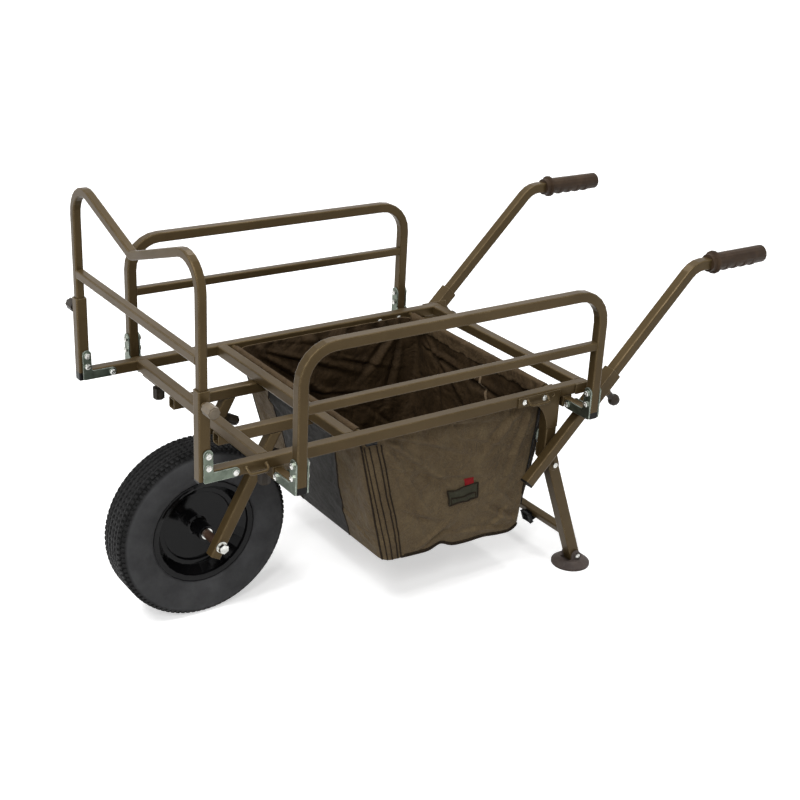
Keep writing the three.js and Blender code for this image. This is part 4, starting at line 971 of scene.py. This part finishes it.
# Camera fitted to the photograph
PICTURE = 800
SENSOR = 36
f_px, u0 = 1365.845, 440.0
az, el, roll = (math.radians(v) for v in (-37.3546, -23.2103, 3.6937))
back = Vector((math.sin(az) * math.cos(el), -math.cos(az) * math.cos(el), -math.sin(el)))
right = Vector((0, 0, 1)).cross(back).normalized()
up = back.cross(right)
right2 = right * math.cos(roll) + up * math.sin(roll)
up2 = up * math.cos(roll) - right * math.sin(roll)
cam_data = bpy.data.cameras.new("camera")
cam = bpy.data.objects.new("camera", cam_data)
bpy.context.scene.collection.objects.link(cam)
cam_data.sensor_width = SENSOR
cam_data.lens = f_px * SENSOR / PICTURE
cam_data.shift_x = -(u0 - PICTURE / 2) / PICTURE
cam_data.clip_end = 200
place = Matrix((right2, up2, back)).transposed().to_4x4()
place.translation = Vector((-1.193171 + shift, -2.415594, 1.668648))
cam.matrix_world = place
bpy.context.scene.camera = cam

# Floor and light
scene.view_settings.view_transform = "Standard"


def seen(tree):
    """Is one for rays that show the floor or sky itself: from the camera, in gloss or through glass."""
    path = tree.nodes.new("ShaderNodeLightPath")
    total = path.outputs["Is Camera Ray"]
    for name in ("Is Glossy Ray", "Is Transmission Ray"):
        larger = tree.nodes.new("ShaderNodeMath")
        larger.operation = "MAXIMUM"
        tree.links.new(total, larger.inputs[0])
        tree.links.new(path.outputs[name], larger.inputs[1])
        total = larger.outputs[0]
    return total


FLOOR_SHADE = 0.32
FLOOR_GLOW = 0.52
SKY = 0.29


def floor():
    m = Mat("floor_white", Roughness=0.9, Specular_IOR_Level=0.1)
    t = m.tree
    shown = seen(t)
    m.link(m.mix(shown, (FLOOR_SHADE,) * 3 + (1,), (0.88, 0.88, 0.88, 1)), "Base Color")
    glow = t.nodes.new("ShaderNodeEmission")
    add = t.nodes.new("ShaderNodeAddShader")
    t.links.new(m.math("MULTIPLY", shown, FLOOR_GLOW), glow.inputs["Strength"])
    out = t.nodes["Material Output"]
    t.links.new(m.shader.outputs[0], add.inputs[0])
    t.links.new(glow.outputs[0], add.inputs[1])
    t.links.new(add.outputs[0], out.inputs["Surface"])
    mesh = bpy.data.meshes.new("floor")
    s = 60
    mesh.from_pydata([(-s, -s, 0), (s, -s, 0), (s, s, 0), (-s, s, 0)], [], [(0, 1, 2, 3)])
    ob = bpy.data.objects.new("floor", mesh)
    ob.location.z = -0.0005
    mesh.materials.append(m.mat)
    scene.collection.objects.link(ob)


floor()
world = bpy.data.worlds.new("studio")
scene.world = world
world.use_nodes = True
wt = world.node_tree
bg = wt.nodes["Background"]
mixer = wt.nodes.new("ShaderNodeMapRange")
wt.links.new(seen(wt), mixer.inputs["Value"])
mixer.inputs["To Min"].default_value = SKY
mixer.inputs["To Max"].default_value = 1.0
wt.links.new(mixer.outputs["Result"], bg.inputs["Strength"])
bg.inputs["Color"].default_value = (1, 1, 1, 1)


def sun(name, direction, strength, angle):
    data = bpy.data.lights.new(name, "SUN")
    data.energy = strength
    data.angle = math.radians(angle)
    ob = bpy.data.objects.new(name, data)
    ob.rotation_euler = Vector(direction).to_track_quat("-Z", "Y").to_euler()
    scene.collection.objects.link(ob)


def area(name, loc, target, size, power):
    data = bpy.data.lights.new(name, "AREA")
    data.shape = "RECTANGLE"
    data.size, data.size_y = size
    data.energy = power
    ob = bpy.data.objects.new(name, data)
    ob.location = loc
    ob.rotation_euler = (Vector(target) - Vector(loc)).to_track_quat("-Z", "Y").to_euler()
    scene.collection.objects.link(ob)


sun("key", (0.42, 0.16, -1.0), 2.15, 25)
sun("fill", (0.5, 0.9, -0.3), 0.14, 60)
area("strip", (-2.4, -2.2, 2.6), (0, 0, 0.3), (0.5, 1.0), 40)
area("bowl", (1.1 + axle.x, 0.9, 2.4), (axle.x, 0, axle.z), (0.7, 0.3), 12)
